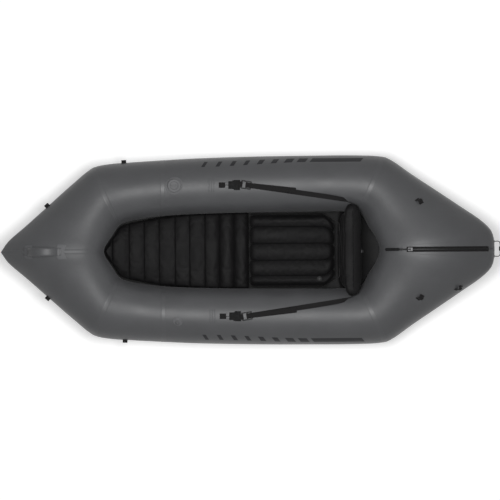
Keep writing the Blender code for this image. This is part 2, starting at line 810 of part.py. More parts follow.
def round_corner(across, along, rounding):
    """Draw a sheet's corners in, for places from -1 to 1 across and along it."""
    return 1 - rounding * max(0.0, abs(across) - 0.5) * max(0.0, abs(along) - 0.5) * 4


PATCH_CELLS = (8, 6)
CORNER_SHARE = 0.12


def patch(name, place, size, thickness, side):
    """A thin sheet welded over the tube, its length along the tube."""
    u, turn = place
    length, width = size
    rows = []
    for height in (DRAPE_GAP, DRAPE_GAP + thickness):
        grid = []
        for i in range(PATCH_CELLS[0] + 1):
            row = []
            for j in range(PATCH_CELLS[1] + 1):
                a = 2 * i / PATCH_CELLS[0] - 1
                b = 2 * j / PATCH_CELLS[1] - 1
                draw = round_corner(a, b, CORNER_SHARE) / 2
                row.append(side_of(wrapped(u, turn, a * length * draw, b * width * draw, height), side))
            grid.append(row)
        rows.append(grid)
    return slab(name, rows[0], rows[1], TUBE_FABRIC)


def ribbon(name, centres, wides, width, thickness, finish):
    """A flat strip along a path. Each point has a unit vector across the strip there."""
    lower = []
    upper = []
    count = len(centres)
    for i, (centre, wide) in enumerate(zip(centres, wides)):
        ahead = centres[min(i + 1, count - 1)]
        back = centres[max(i - 1, 0)]
        tangent = (ahead - back).normalized()
        face = tangent.cross(wide).normalized()
        this_width = width[i] if isinstance(width, list) else width
        this_thickness = thickness[i] if isinstance(thickness, list) else thickness
        edge = wide * (this_width / 2)
        raise_by = face * (this_thickness / 2)
        lower.append([centre - edge - raise_by, centre - raise_by, centre + edge - raise_by])
        upper.append([centre - edge + raise_by, centre + raise_by, centre + edge + raise_by])
    return slab(name, lower, upper, finish)


def turned(name, frame, profile, finish, sides=ROUND_SIDES):
    """A round solid on a surface frame, from (radius, height) pairs listed from its base to its top."""
    point, along, around, normal = frame
    rings = []
    for radius, height in profile:
        rings.append([point + normal * height + (along * math.cos(2 * math.pi * j / sides)
                      + around * math.sin(2 * math.pi * j / sides)) * radius for j in range(sides)])
    return loft(name, rings, finish)


def turned_shell(name, frame, profile, finish, sides=ROUND_SIDES):
    """A round solid with a hole through it, from (radius, height) pairs round its wall."""
    point, along, around, normal = frame
    rings = []
    for radius, height in profile:
        rings.append([point + normal * height + (along * math.cos(2 * math.pi * j / sides)
                      + around * math.sin(2 * math.pi * j / sides)) * radius for j in range(sides)])
    points = [p for item in rings for p in item]
    faces = []
    for i in range(len(rings)):
        n = (i + 1) % len(rings)
        for j in range(sides):
            k = (j + 1) % sides
            faces.append([i * sides + j, n * sides + j, n * sides + k, i * sides + k])
    return outward(add_solid(name, points, faces, finish))


def add_valve_base(name, u, turn, side, flange, neck, neck_height, finish, sides=ROUND_SIDES):
    """A valve's soft flange, laid to the tube's curve, with the neck that stands up from its middle."""
    rings = []
    layers = [(flange * 0.14, DRAPE_GAP), (flange * 0.45, DRAPE_GAP), (flange * 0.75, DRAPE_GAP),
              (flange, DRAPE_GAP), (flange, DRAPE_GAP + 2 * PATCH_THICKNESS),
              (flange * 0.84, DRAPE_GAP + 3 * PATCH_THICKNESS)]
    for diameter, lift in layers:
        rings.append([side_of(wrapped(u, turn, diameter / 2 * math.cos(2 * math.pi * j / sides),
                                      diameter / 2 * math.sin(2 * math.pi * j / sides), lift), side)
                      for j in range(sides)])
    point, along, around, normal = hull_frame(u, turn)
    for diameter, height in ((neck, neck_height * 0.15), (neck, neck_height), (neck * 0.5, neck_height)):
        centre = point + normal * height
        rings.append([side_of(centre + along * (diameter / 2 * math.cos(2 * math.pi * j / sides))
                              + around * (diameter / 2 * math.sin(2 * math.pi * j / sides)), side)
                      for j in range(sides)])
    return loft(name, rings, finish)


def sided_frame(u, turn, side):
    return tuple(side_of(v, side) for v in hull_frame(u, turn))


def add_main_valve():
    """The inflation valve on the starboard tube: flange and neck, and the cap that turns on it."""
    u, turn = locate(MAIN_VALVE_X, MAIN_VALVE_Y)
    add_valve_base("main_valve_base", u, turn, 1, VALVE_FLANGE_DIAMETER, VALVE_NECK_DIAMETER * 0.92,
                   VALVE_NECK_HEIGHT, GREY_RUBBER)
    frame = sided_frame(u, turn, 1)
    cap = VALVE_CAP_DIAMETER / 2
    inside = VALVE_NECK_DIAMETER * 0.46 + RUNNING_GAP
    low = VALVE_NECK_HEIGHT * 0.40
    top = VALVE_NECK_HEIGHT + RUNNING_GAP
    profile = [(inside * 0.4, top), (inside, top), (inside, low), (cap, low),
               (cap, top + VALVE_CAP_HEIGHT * 0.35), (cap * 0.94, top + VALVE_CAP_HEIGHT * 0.55),
               (cap * 0.60, top + VALVE_CAP_HEIGHT * 0.55), (cap * 0.55, top + VALVE_CAP_HEIGHT * 0.30),
               (cap * 0.2, top + VALVE_CAP_HEIGHT * 0.30)]
    set_origin(turned("main_valve_cap", frame, profile, GREY_RUBBER), frame[0])


def add_oral_valve():
    """The top-off valve on the port tube: base, stem and the tip that turns to open it."""
    u, turn = locate(ORAL_VALVE_X, ORAL_VALVE_Y)
    add_valve_base("oral_valve_base", u, turn, -1, ORAL_BASE_DIAMETER, ORAL_STEM_DIAMETER, ORAL_STEM_HEIGHT,
                   GREY_RUBBER, 16)
    frame = sided_frame(u, turn, -1)
    tip = ORAL_TIP_DIAMETER / 2
    low = ORAL_STEM_HEIGHT + RUNNING_GAP
    profile = [(tip * 0.92, low), (tip, low + ORAL_TIP_HEIGHT * 0.12), (tip, low + ORAL_TIP_HEIGHT * 0.55),
               (tip * 0.62, low + ORAL_TIP_HEIGHT * 0.66), (tip * 0.56, low + ORAL_TIP_HEIGHT * 0.95),
               (tip * 0.48, low + ORAL_TIP_HEIGHT)]
    set_origin(turned("oral_valve_tip", frame, profile, BLACK_PLASTIC, 16), frame[0])


def add_small_valve(name, frame):
    """A cushion's own twist valve: a glued base with a short stem, and its cap."""
    stem = SMALL_STEM_DIAMETER / 2
    base = SMALL_BASE_DIAMETER / 2
    foot = SMALL_STEM_HEIGHT * 0.4
    turned(name + "_base", frame, [(base, 0), (base, foot * 0.6), (base * 0.9, foot), (stem, foot),
                                   (stem, SMALL_STEM_HEIGHT)], GREY_RUBBER, SMALL_SIDES)
    low = SMALL_STEM_HEIGHT + RUNNING_GAP
    cap = SMALL_CAP_DIAMETER / 2
    profile = [(cap * 0.9, low), (cap, low + SMALL_CAP_HEIGHT * 0.15), (cap, low + SMALL_CAP_HEIGHT * 0.8),
               (cap * 0.8, low + SMALL_CAP_HEIGHT)]
    set_origin(turned(name + "_cap", frame, profile, BLACK_PLASTIC, SMALL_SIDES), frame[0])


SEAT_VALVE_SHARE = 0.82
SMALL_SIDES = 14


def seat_crest(share):
    """Height of the seat's tubes along their crests, at a share of their length."""
    for (first, tall, _), (second, next_tall, _) in zip(SEAT_END_SHARES, SEAT_END_SHARES[1:]):
        if first <= share <= second:
            swell = tall + (next_tall - tall) * (share - first) / (second - first)
            crest = bulge(2 / SEAT_STEPS, SEAT_GROOVE_SHARE)
            return SEAT_BASE + SEAT_THICKNESS / 2 * (1 + swell * crest)
    return SEAT_BASE


def add_cushion_valves():
    """The seat's valve on its aft port corner, and the backrest's on its back below the top seam."""
    seat_place = Vector((SEAT_FRONT + SEAT_LENGTH * SEAT_VALVE_SHARE,
                         -SEAT_WIDTH / 2 * (1 - 1 / SEAT_TUBES),
                         seat_crest(SEAT_VALVE_SHARE) + DRAPE_GAP))
    add_small_valve("seat_valve", (seat_place, Vector((1, 0, 0)), Vector((0, 1, 0)), Vector((0, 0, 1))))
    lean_up = Vector((math.sin(BACKREST_LEAN), 0, math.cos(BACKREST_LEAN)))
    lean_back = Vector((math.cos(BACKREST_LEAN), 0, -math.sin(BACKREST_LEAN)))
    share = 1 - 0.5 / BACKREST_BAFFLES
    point = backrest_place(BACKREST_HEIGHT * share, BACKREST_THICKNESS / 2 + DRAPE_GAP, BACKREST_LEAN)
    point.y = BACKREST_VALVE_Y
    add_small_valve("backrest_valve", (point, Vector((0, 1, 0)), lean_up, lean_back))


# Straps, buckles and their anchors

BUCKLE_X = STRAP_FRONT_X + BUCKLE_LENGTH / 2 - BUCKLE_BAR
STRAP_END_SHARE = 0.91
PATCH_TOP = DRAPE_GAP + PATCH_THICKNESS
WEB_BOTTOM = PATCH_TOP + GAP
BAR_MIDDLE = WEB_BOTTOM + WEBBING_THICKNESS + BAR_CLEARANCE + BUCKLE_THICKNESS / 2
LOOP_RADIUS = BUCKLE_THICKNESS / 2 + BAR_CLEARANCE + WEBBING_THICKNESS / 2


def strap_frame():
    """Where the starboard strap lies on the tube: a point, and directions aft, up and across."""
    u, turn = locate(BUCKLE_X, BUCKLE_Y)
    point, _, _, normal = hull_frame(u, turn)
    aft = Vector((STRAP_HEADING_X - BUCKLE_X, STRAP_HEADING_Y - BUCKLE_Y, 0)).normalized()
    aft = (aft - normal * aft.dot(normal)).normalized()
    return point, aft, normal, normal.cross(aft).normalized()


def strap_place(aft_by, across_by, up_by):
    point, aft, normal, across = strap_frame()
    return point + aft * aft_by + across * across_by + normal * up_by


FRONT_BAR = -BUCKLE_LENGTH / 2 + BUCKLE_BAR / 2
MID_BAR = BUCKLE_BAR * 0.35
REAR_BAR = BUCKLE_LENGTH / 2 - BUCKLE_BAR / 2
LOOP_STEPS = 6


def add_anchor(side_name, side):
    """The grey plate welded to the tube, the webbing sewn on it and the bridge over the webbing."""
    _, aft, _, across = strap_frame()
    centre = strap_place(-ANCHOR_PATCH_LENGTH * 0.27, 0, 0)
    patch(f"strap_patch_{side_name}", locate(centre.x, centre.y), (ANCHOR_PATCH_LENGTH, ANCHOR_PATCH_WIDTH),
          PATCH_THICKNESS, side)
    level = WEB_BOTTOM + WEBBING_THICKNESS / 2
    front = FRONT_BAR - LOOP_RADIUS
    path = [strap_place(front - WEBBING_WIDTH * 1.75, 0, level), strap_place(front - WEBBING_WIDTH, 0, level),
            strap_place(front, 0, level)]
    for k in range(LOOP_STEPS + 1):
        angle = -math.pi / 2 + math.pi * k / LOOP_STEPS
        path.append(strap_place(FRONT_BAR + LOOP_RADIUS * math.cos(angle), 0,
                                BAR_MIDDLE + LOOP_RADIUS * math.sin(angle)))
    path.append(strap_place(front - BUCKLE_BAR * 0.5, 0, BAR_MIDDLE + LOOP_RADIUS * 0.55))
    path.append(strap_place(front - BUCKLE_BAR * 1.7, 0, BAR_MIDDLE - LOOP_RADIUS * 0.02))
    wides = [side_of(across, side)] * len(path)
    ribbon(f"anchor_webbing_{side_name}", [side_of(p, side) for p in path], wides, WEBBING_WIDTH * 1.08,
           WEBBING_THICKNESS, WEBBING)
    middle = front - WEBBING_WIDTH * 0.95
    half = WEBBING_WIDTH * 0.54 + 4 * GAP
    low = WEB_BOTTOM + PATCH_THICKNESS / 2
    high = WEB_BOTTOM + WEBBING_THICKNESS + GAP + PATCH_THICKNESS / 2
    wing = half + WEBBING_WIDTH * 0.32
    bridge = [strap_place(middle, across_by, up_by) for across_by, up_by in
              ((-wing, low - 2 * GAP), (-half - PATCH_THICKNESS, low), (-half, high), (half, high),
               (half + PATCH_THICKNESS, low), (wing, low - 2 * GAP))]
    ribbon(f"anchor_bridge_{side_name}", [side_of(p, side) for p in bridge],
           [side_of(aft, side)] * len(bridge), BRIDGE_LENGTH, PATCH_THICKNESS, TUBE_FABRIC)


def cell_plate(name, lines_a, lines_b, holes, low, high, place, finish):
    """A flat frame between two levels, made of a grid of cells with some left open."""
    count_a = len(lines_a)
    count_b = len(lines_b)
    points = [place(a, b, level) for level in (low, high) for a in lines_a for b in lines_b]
    top = count_a * count_b

    def is_solid(i, j):
        return 0 <= i < count_a - 1 and 0 <= j < count_b - 1 and (i, j) not in holes

    faces = []
    for i in range(count_a - 1):
        for j in range(count_b - 1):
            if not is_solid(i, j):
                continue
            first_row = i * count_b + j
            corner = [first_row, first_row + count_b, first_row + count_b + 1, first_row + 1]
            faces.append(corner[::-1])
            faces.append([c + top for c in corner])
            for (m, n), first, second in (((i - 1, j), 3, 0), ((i, j + 1), 2, 3),
                                          ((i + 1, j), 1, 2), ((i, j - 1), 0, 1)):
                if not is_solid(m, n):
                    faces.append([corner[first], corner[second], corner[second] + top, corner[first] + top])
    used = sorted({index for face in faces for index in face})
    lookup = {index: k for k, index in enumerate(used)}
    return outward(add_solid(name, [points[index] for index in used],
                             [[lookup[index] for index in face] for face in faces], finish))


def add_buckle(side_name, side):
    """The ladder lock: two side rails and three bars, hinged by its front bar in the anchor webbing."""
    half_length = BUCKLE_LENGTH / 2
    half_width = BUCKLE_WIDTH / 2
    opening = WEBBING_WIDTH * 0.54 + 3 * BAR_CLEARANCE
    lines_a = [-half_length, -half_length + BUCKLE_BAR, MID_BAR - BUCKLE_BAR / 2, MID_BAR + BUCKLE_BAR / 2,
               half_length - BUCKLE_BAR, half_length]
    lines_b = [-half_width, -opening, opening, half_width]
    low = BAR_MIDDLE - BUCKLE_THICKNESS / 2
    high = BAR_MIDDLE + BUCKLE_THICKNESS / 2
    buckle = cell_plate(f"ladder_lock_{side_name}", lines_a, lines_b, {(1, 1), (3, 1)}, low, high,
                        lambda a, b, c: side_of(strap_place(a, b, c), side), BLACK_PLASTIC)
    bevel = buckle.modifiers.new("rounded_edges", "BEVEL")
    bevel.width = BUCKLE_BAR * 0.36
    bevel.segments = 1
    bevel.limit_method = "ANGLE"
    set_origin(buckle, side_of(strap_place(FRONT_BAR, 0, BAR_MIDDLE), side))


def add_strap(side_name, side):
    """The backrest strap: from the backrest's end forward under the buckle, round its bar and back."""
    _, _, normal, across = strap_frame()
    level = WEB_BOTTOM + WEBBING_THICKNESS / 2
    height = BACKREST_HEIGHT * STRAP_END_SHARE
    end = backrest_place(height, 0, BACKREST_LEAN)
    end.y = backrest_half_width(height - WEBBING_WIDTH / 2) + CUSHION_GAP + WEBBING_THICKNESS / 2
    start = strap_place(BUCKLE_LENGTH * 0.75, 0, level + GAP)
    path = [end, end + WEBBING_WIDTH * Vector((-0.84, 0.30, 0.16)),
            end + WEBBING_WIDTH * Vector((-1.76, 0.76, 0.36))]
    flat_from = end + WEBBING_WIDTH * Vector((-3.60, 1.16, 0.28))
    path.append(flat_from)
    path += [flat_from.lerp(start, k / 5) for k in range(1, 6)]
    path += [strap_place(REAR_BAR, 0, level), strap_place(MID_BAR, 0, level)]
    upright = Vector((0, 0, 1))
    flat = -across
    wides = [upright, upright, (upright * 0.6 + flat * 0.8).normalized()] + [flat] * (len(path) - 3)
    for k in range(1, LOOP_STEPS):
        angle = math.pi / 2 + math.pi * k / LOOP_STEPS
        path.append(strap_place(MID_BAR + LOOP_RADIUS * math.cos(angle), 0,
                                BAR_MIDDLE - LOOP_RADIUS * math.sin(angle)))
        wides.append(flat)
    tail_level = BAR_MIDDLE + LOOP_RADIUS
    path += [strap_place(MID_BAR, 0, tail_level), strap_place(REAR_BAR, 0, tail_level)]
    wides += [flat, flat]
    tail_start = strap_place(REAR_BAR, 0, tail_level)
    direction = (flat_from - start).normalized()
    for k in range(1, 5):
        share = k / 4
        run = STRAP_TAIL_LENGTH * share
        drop = (tail_level - level - WEBBING_THICKNESS - 2 * GAP) * min(1.0, share * 1.6) * 0.8
        path.append(tail_start + direction * run + across * (STRAP_TAIL_SKEW * share) - normal * drop)
        wides.append(flat)
    ribbon(f"backrest_strap_{side_name}", [side_of(p, side) for p in path], [side_of(w, side) for w in wides],
           WEBBING_WIDTH, WEBBING_THICKNESS, WEBBING)


LOWER_BAFFLE_SHARE = 1.5 / BACKREST_BAFFLES


def add_lower_webbing(side_name, side):
    """The short strap from the tube's inner side to the front of the backrest's second baffle."""
    height = BACKREST_HEIGHT * LOWER_BAFFLE_SHARE
    clear = DRAPE_GAP + WEBBING_THICKNESS / 2
    end = backrest_place(height, -BACKREST_THICKNESS / 2 - clear, BACKREST_LEAN)
    start = Vector((LOWER_WEBBING_X, tube_inner_edge(LOWER_WEBBING_X, end.z) - clear, end.z))
    end.y = start.y - (end.x - start.x) * 0.6
    lean_up = backrest_place(1, 0, BACKREST_LEAN) - BACKREST_PIVOT
    path = [start - Vector((WEBBING_WIDTH * 1.2, 0, 0)), start - Vector((WEBBING_WIDTH * 0.2, 0, 0))]
    path += [start.lerp(end, k / 4) for k in range(1, 5)]
    path += [end - Vector((0, LOWER_WEBBING_REST / 2, 0)), end - Vector((0, LOWER_WEBBING_REST, 0))]
    wides = [Vector((0, 0, 1))] * 2
    wides += [Vector((0, 0, 1)).lerp(lean_up, k / 4).normalized() for k in range(1, 5)]
    wides += [lean_up] * 2
    ribbon(f"lower_webbing_{side_name}", [side_of(p, side) for p in path],
           [side_of(w, side) for w in wides], WEBBING_WIDTH, WEBBING_THICKNESS, WEBBING)


# Tie-down loops

def add_tie_loop(name, place, side, round_the_tube, width=TIE_LOOP_WIDTH):
    """A webbing loop on two glued feet. Its run goes round the tube or along it."""
    u, turn = place
    half = TIE_LOOP_SPAN / 2
    foot = TIE_LOOP_FOOT
    top = TIE_LOOP_RISE
    shape = [(-half - foot, 0), (-half - foot * 0.4, 0), (-half, top * 0.12), (-half * 0.86, top * 0.6),
             (-half * 0.5, top * 0.93), (0, top), (half * 0.5, top * 0.93), (half * 0.86, top * 0.6),
             (half, top * 0.12), (half + foot * 0.4, 0), (half + foot, 0)]
    level = DRAPE_GAP + TIE_LOOP_THICKNESS / 2
    path = []
    wides = []
    for run, height in shape:
        along, around = (0, run) if round_the_tube else (run, 0)
        aside, beside = (width / 2, 0) if round_the_tube else (0, width / 2)
        path.append(side_of(wrapped(u, turn, along, around, level + height), side))
        across = wrapped(u, turn, along + aside, around + beside, 0)
        across -= wrapped(u, turn, along - aside, around - beside, 0)
        wides.append(side_of(across.normalized(), side))
    return ribbon(name, path, wides, width, TIE_LOOP_THICKNESS, WEBBING)


def edge_station(x):
    """The place along the tube whose outer edge is at a distance along the hull."""
    low = 0.0
    high = float(STERN_END)
    for _ in range(40):
        middle = (low + high) / 2
        if hull_point(middle, 0).x < x:
            low = middle
        else:
            high = middle
    return (low + high) / 2


LOOP_TURN_SHARE = 0.06


def add_tie_loops():
    for side_name, side in SIDES:
        for label, x in (("bow_tie_loop", BOW_LOOP_X), ("fore_tie_loop", FORE_LOOP_X)):
            add_tie_loop(f"{label}_{side_name}", (edge_station(x), LOOP_TURN_SHARE), side, True)
        add_tie_loop(f"stern_tie_loop_{side_name}", locate(STERN_LOOP_X, STERN_LOOP_Y), side, False)
    add_tie_loop("edge_tie_loop_port", locate(EDGE_LOOP_X, EDGE_LOOP_Y), -1, False, TIE_LOOP_WIDTH * 0.85)


# Bow grab handle

def centre_turn(u, x):
    """The turn at which the upper side of a centreline section passes a distance along the hull."""
    low = 0.0
    high = 2.0
    for _ in range(40):
        middle = (low + high) / 2
        if (hull_point(u, middle).x > x) == (u > 1):
            low = middle
        else:
            high = middle
    return (low + high) / 2


def centre_patch(name, u, first_x, last_x, width, thickness, lift, rows, finish, rounding=0.10):
    """A sheet welded across the centreline of the bow's or the stern's upper side."""
    grids = []
    columns = 6
    for height in (lift, lift + thickness):
        grid = []
        for i in range(rows + 1):
            x = first_x + (last_x - first_x) * i / rows
            along = 2 * i / rows - 1
            row = []
            for j in range(columns + 1):
                across = 2 * j / columns - 1
                reach = abs(across) * width / 2 * round_corner(across, along, rounding)
                turn = centre_turn(u, x)
                place = 0.0 if u < 1 else u
                step = 0.5 if u < 1 else -0.5
                low, high = 0.0, 1.0
                for _ in range(30):
                    middle = (low + high) / 2
                    if hull_point(place + step * 2 * middle, turn).y < reach:
                        low = middle
                    else:
                        high = middle
                here = place + step * 2 * low
                point, _, _, normal = hull_frame(here, turn)
                if reach == 0:
                    normal = Vector((normal.x, 0, normal.z)).normalized()
                    point.y = 0
                row.append(side_of(point + normal * height, 1 if across > 0 else -1))
            grid.append(row)
        grids.append(grid)
    return slab(name, grids[0], grids[1], finish)


HANDLE_AFT_X = COCKPIT_FRONT - HANDLE_SETBACK
HANDLE_LIFT = TAPE_TOP + 2 * DRAPE_GAP
HANDLE_STEPS = 14


def add_handle():
    """The bow grab handle: a padded strap arched between two welded patches."""
    front_x = HANDLE_AFT_X - HANDLE_LENGTH
    for label, x in (("aft", HANDLE_AFT_X), ("front", front_x)):
        length = HANDLE_PATCH_LENGTH if label == "aft" else HANDLE_PATCH_LENGTH * 0.8
        width = HANDLE_PATCH_WIDTH if label == "aft" else HANDLE_PATCH_WIDTH * 0.75
        centre_patch(f"handle_patch_{label}", 0.0, x - length / 2, x + length / 2, width, 2 * PATCH_THICKNESS,
                     HANDLE_LIFT, 4, TUBE_FABRIC)
    foot = HANDLE_LIFT + 2 * PATCH_THICKNESS + GAP
    ends = []
    for x, inward in ((HANDLE_AFT_X + HANDLE_PATCH_LENGTH * 0.25, -1),
                      (front_x - HANDLE_PATCH_LENGTH * 0.2, 1)):
        near = hull_frame(0.0, centre_turn(0.0, x))
        far = hull_frame(0.0, centre_turn(0.0, x + inward * HANDLE_PATCH_LENGTH * 0.4))
        for point, normal in ((near[0], near[3]), (far[0], far[3])):
            face = Vector((normal.x, 0, normal.z)).normalized()
            ends.append(Vector((point.x, 0, point.z)) + face * (foot + HANDLE_THICKNESS * 0.16))
    outer_aft, inner_aft, outer_front, inner_front = ends
    path = [outer_aft, inner_aft]
    thick = [HANDLE_THICKNESS * 0.32, HANDLE_THICKNESS * 0.32]
    wide = [HANDLE_WIDTH * 0.86, HANDLE_WIDTH * 0.86]
    up = (inner_aft - inner_front).cross(Vector((0, -1, 0))).normalized()
    if up.z < 0:
        up = -up
    for k in range(1, HANDLE_STEPS):
        share = k / HANDLE_STEPS
        arch = math.sin(math.pi * share) ** 0.8
        path.append(inner_aft.lerp(inner_front, share) + up * (HANDLE_RISE * arch))
        swell = min(1.0, math.sin(math.pi * share) * 1.5)
        thick.append(HANDLE_THICKNESS * (0.32 + 0.68 * swell))
        wide.append(HANDLE_WIDTH * (0.86 + 0.14 * swell))
    path += [inner_front, outer_front]
    thick += [HANDLE_THICKNESS * 0.32] * 2
    wide += [HANDLE_WIDTH * 0.86] * 2
    ribbon("grab_handle", path, [Vector((0, 1, 0))] * len(path), wide, thick, TUBE_FABRIC)


# Stern zip

STERN_SECTION = cross_section(STERN_END)
ZIP_CREST = STERN_SECTION[1] + (STERN_SECTION[0] - STERN_SECTION[1]) * STERN_SECTION[2]
ZIP_RADIUS = crest_radius((STERN_SECTION[0] - STERN_SECTION[1]).length * (1 - STERN_SECTION[2]),
                          STERN_SECTION[3] / 2, STERN_FULLNESS_SHARE)
ZIP_CENTRE = Vector((ZIP_CREST.x, 0, hull_point(STERN_END, 1).z - ZIP_RADIUS))
ZIP_START = -ZIP_BEFORE_CREST / ZIP_RADIUS
ZIP_END = ZIP_AFTER_CREST / ZIP_RADIUS
ZIP_PATCH_LIFT = DRAPE_GAP
ZIP_TAPE_LIFT = ZIP_PATCH_LIFT + PATCH_THICKNESS + GAP
ZIP_CHAIN_LIFT = ZIP_TAPE_LIFT + ZIP_TAPE_THICKNESS + GAP
ZIP_ROWS = 20
ZIP_PATCH_ROWS = 16
STOP_WIDTH_SHARE = 0.8


def on_zip(angle, across, lift):
    """A point on the zip's arc at an angle aft of the crest, across it and above the tube."""
    reach = ZIP_RADIUS + lift
    return ZIP_CENTRE + Vector((reach * math.sin(angle), across, reach * math.cos(angle)))


def arc_strip(name, angles, widths, low, high, finish):
    """A flat strip along the zip's arc, with a width at each angle."""
    grids = []
    for lift in (low, high):
        grids.append([[on_zip(angle, across * width / 2, lift) for across in (-1, 0, 1)]
                      for angle, width in zip(angles, widths)])
    return slab(name, grids[0], grids[1], finish)


def even_steps(first, last, count):
    return [first + (last - first) * i / count for i in range(count + 1)]


def extruded(name, outline, first, last, place, finish):
    """A solid with an outline in two directions, drawn out along the third."""
    count = len(outline)
    points = [place(a, b, c) for c in (first, last) for a, b in outline]
    faces = [list(range(count))[::-1], [count + k for k in range(count)]]
    for k in range(count):
        n = (k + 1) % count
        faces.append([k, n, count + n, count + k])
    return outward(add_solid(name, points, faces, finish))


def circle(radius, sides):
    return [(radius * math.cos(2 * math.pi * k / sides), radius * math.sin(2 * math.pi * k / sides))
            for k in range(sides)]


def hide_cutter(cutter):
    cutter.hide_render = True
    cutter.display_type = "WIRE"


def join_to(solid, extra, index):
    hide_cutter(extra)
    union = solid.modifiers.new(f"joined_{index}", "BOOLEAN")
    union.operation = "UNION"
    union.object = extra


SLIDER_MIDDLE = ZIP_START + (ZIP_STOP_LENGTH + ZIP_SLIDER_LENGTH / 2 + 2 * GAP) / ZIP_RADIUS
SLIDER_TOP = ZIP_CHAIN_LIFT + ZIP_CHAIN_HEIGHT + RUNNING_GAP + ZIP_SLIDER_WALL
PULL_PIVOT_LIFT = SLIDER_TOP + ZIP_PIN_DIAMETER * 1.25
PULL_THICKNESS = ZIP_PIN_DIAMETER
PULL_REST_LIFT = ZIP_CHAIN_LIFT + ZIP_CHAIN_HEIGHT + RUNNING_GAP + PULL_THICKNESS / 2


def on_slider(along, across, up):
    """A point of the slider: along it toward the stern, across it, and above the tube."""
    base = on_zip(SLIDER_MIDDLE, across, 0)
    aft = Vector((math.cos(SLIDER_MIDDLE), 0, -math.sin(SLIDER_MIDDLE)))
    normal = Vector((math.sin(SLIDER_MIDDLE), 0, math.cos(SLIDER_MIDDLE)))
    return base + aft * along + normal * up


def add_zip():
    """The zip on the stern's centreline: patch, tape, chain and its two stops, slider and pull."""
    start_x = on_zip(ZIP_START - WEBBING_WIDTH / ZIP_RADIUS, 0, 0).x
    end_x = on_zip(ZIP_END, 0, 0).x
    centre_patch("zip_patch", float(STERN_END), start_x, end_x, ZIP_PATCH_WIDTH, PATCH_THICKNESS,
                 ZIP_PATCH_LIFT, ZIP_PATCH_ROWS, TUBE_FABRIC, 0.08)
    angles = even_steps(ZIP_START, ZIP_END, ZIP_ROWS)
    arc_strip("zip_tape", angles, [ZIP_TAPE_WIDTH] * len(angles), ZIP_TAPE_LIFT,
              ZIP_TAPE_LIFT + ZIP_TAPE_THICKNESS, WEBBING)
    stop = ZIP_STOP_LENGTH / ZIP_RADIUS
    spare = GAP / ZIP_RADIUS
    stop_width = ZIP_SLIDER_WIDTH * STOP_WIDTH_SHARE
    chain = even_steps(ZIP_START + stop + spare, ZIP_END - stop, ZIP_ROWS)
    arc_strip("zip_chain", chain + [ZIP_END - stop + spare, ZIP_END],
              [ZIP_CHAIN_WIDTH] * len(chain) + [stop_width] * 2, ZIP_CHAIN_LIFT,
              ZIP_CHAIN_LIFT + ZIP_CHAIN_HEIGHT, BLACK_PLASTIC)
    arc_strip("zip_front_stop", even_steps(ZIP_START, ZIP_START + stop, 2), [stop_width] * 3, ZIP_CHAIN_LIFT,
              ZIP_CHAIN_LIFT + ZIP_CHAIN_HEIGHT, BLACK_PLASTIC)
    add_slider()
    add_pull()


def add_slider():
    half = ZIP_SLIDER_LENGTH / 2
    inside = ZIP_CHAIN_WIDTH / 2 + RUNNING_GAP
    outside = ZIP_SLIDER_WIDTH / 2
    low = ZIP_CHAIN_LIFT + RUNNING_GAP
    ceiling = SLIDER_TOP - ZIP_SLIDER_WALL
    arch = [(-outside, low), (-inside, low), (-inside, ceiling), (inside, ceiling), (inside, low),
            (outside, low), (outside, SLIDER_TOP - ZIP_SLIDER_WALL * 0.5), (outside * 0.8, SLIDER_TOP),
            (-outside * 0.8, SLIDER_TOP), (-outside, SLIDER_TOP - ZIP_SLIDER_WALL * 0.5)]
    slider = extruded("zip_slider", arch, -half, half, lambda a, b, c: on_slider(c, a, b), SLIDER_METAL)
    lug = ZIP_PIN_DIAMETER * 0.9
    reach = PULL_THICKNESS * 1.5
    post_top = PULL_PIVOT_LIFT + ZIP_PIN_DIAMETER * 0.9
    foot = SLIDER_TOP - ZIP_SLIDER_WALL * 0.5
    outline = [(-lug * 1.6, foot), (lug * 1.6, foot), (lug * 1.2, post_top * 0.98), (lug * 0.6, post_top),
               (-lug * 0.6, post_top), (-lug * 1.2, post_top * 0.98)]
    edge = reach + RUNNING_GAP
    for index, hand in enumerate((-1, 1)):
        sides = sorted((hand * edge, hand * (edge + ZIP_PIN_DIAMETER * 0.8)))
        post = extruded(f"slider_post_{index}", outline, *sides, lambda a, b, c: on_slider(a, c, b),
                        SLIDER_METAL)
        join_to(slider, post, index)
    pin_outline = [(a, PULL_PIVOT_LIFT + b) for a, b in circle(ZIP_PIN_DIAMETER / 2, PIN_SIDES)]
    pin_end = reach + ZIP_PIN_DIAMETER * 0.6
    pin = extruded("slider_pin", pin_outline, -pin_end, pin_end, lambda a, b, c: on_slider(a, c, b),
                   SLIDER_METAL)
    join_to(slider, pin, 2)
    set_origin(slider, ZIP_CENTRE)


PULL_ROWS = 14
PULL_SIDES = 16
PULL_TAB_SIDES = 8
PIN_SIDES = 12


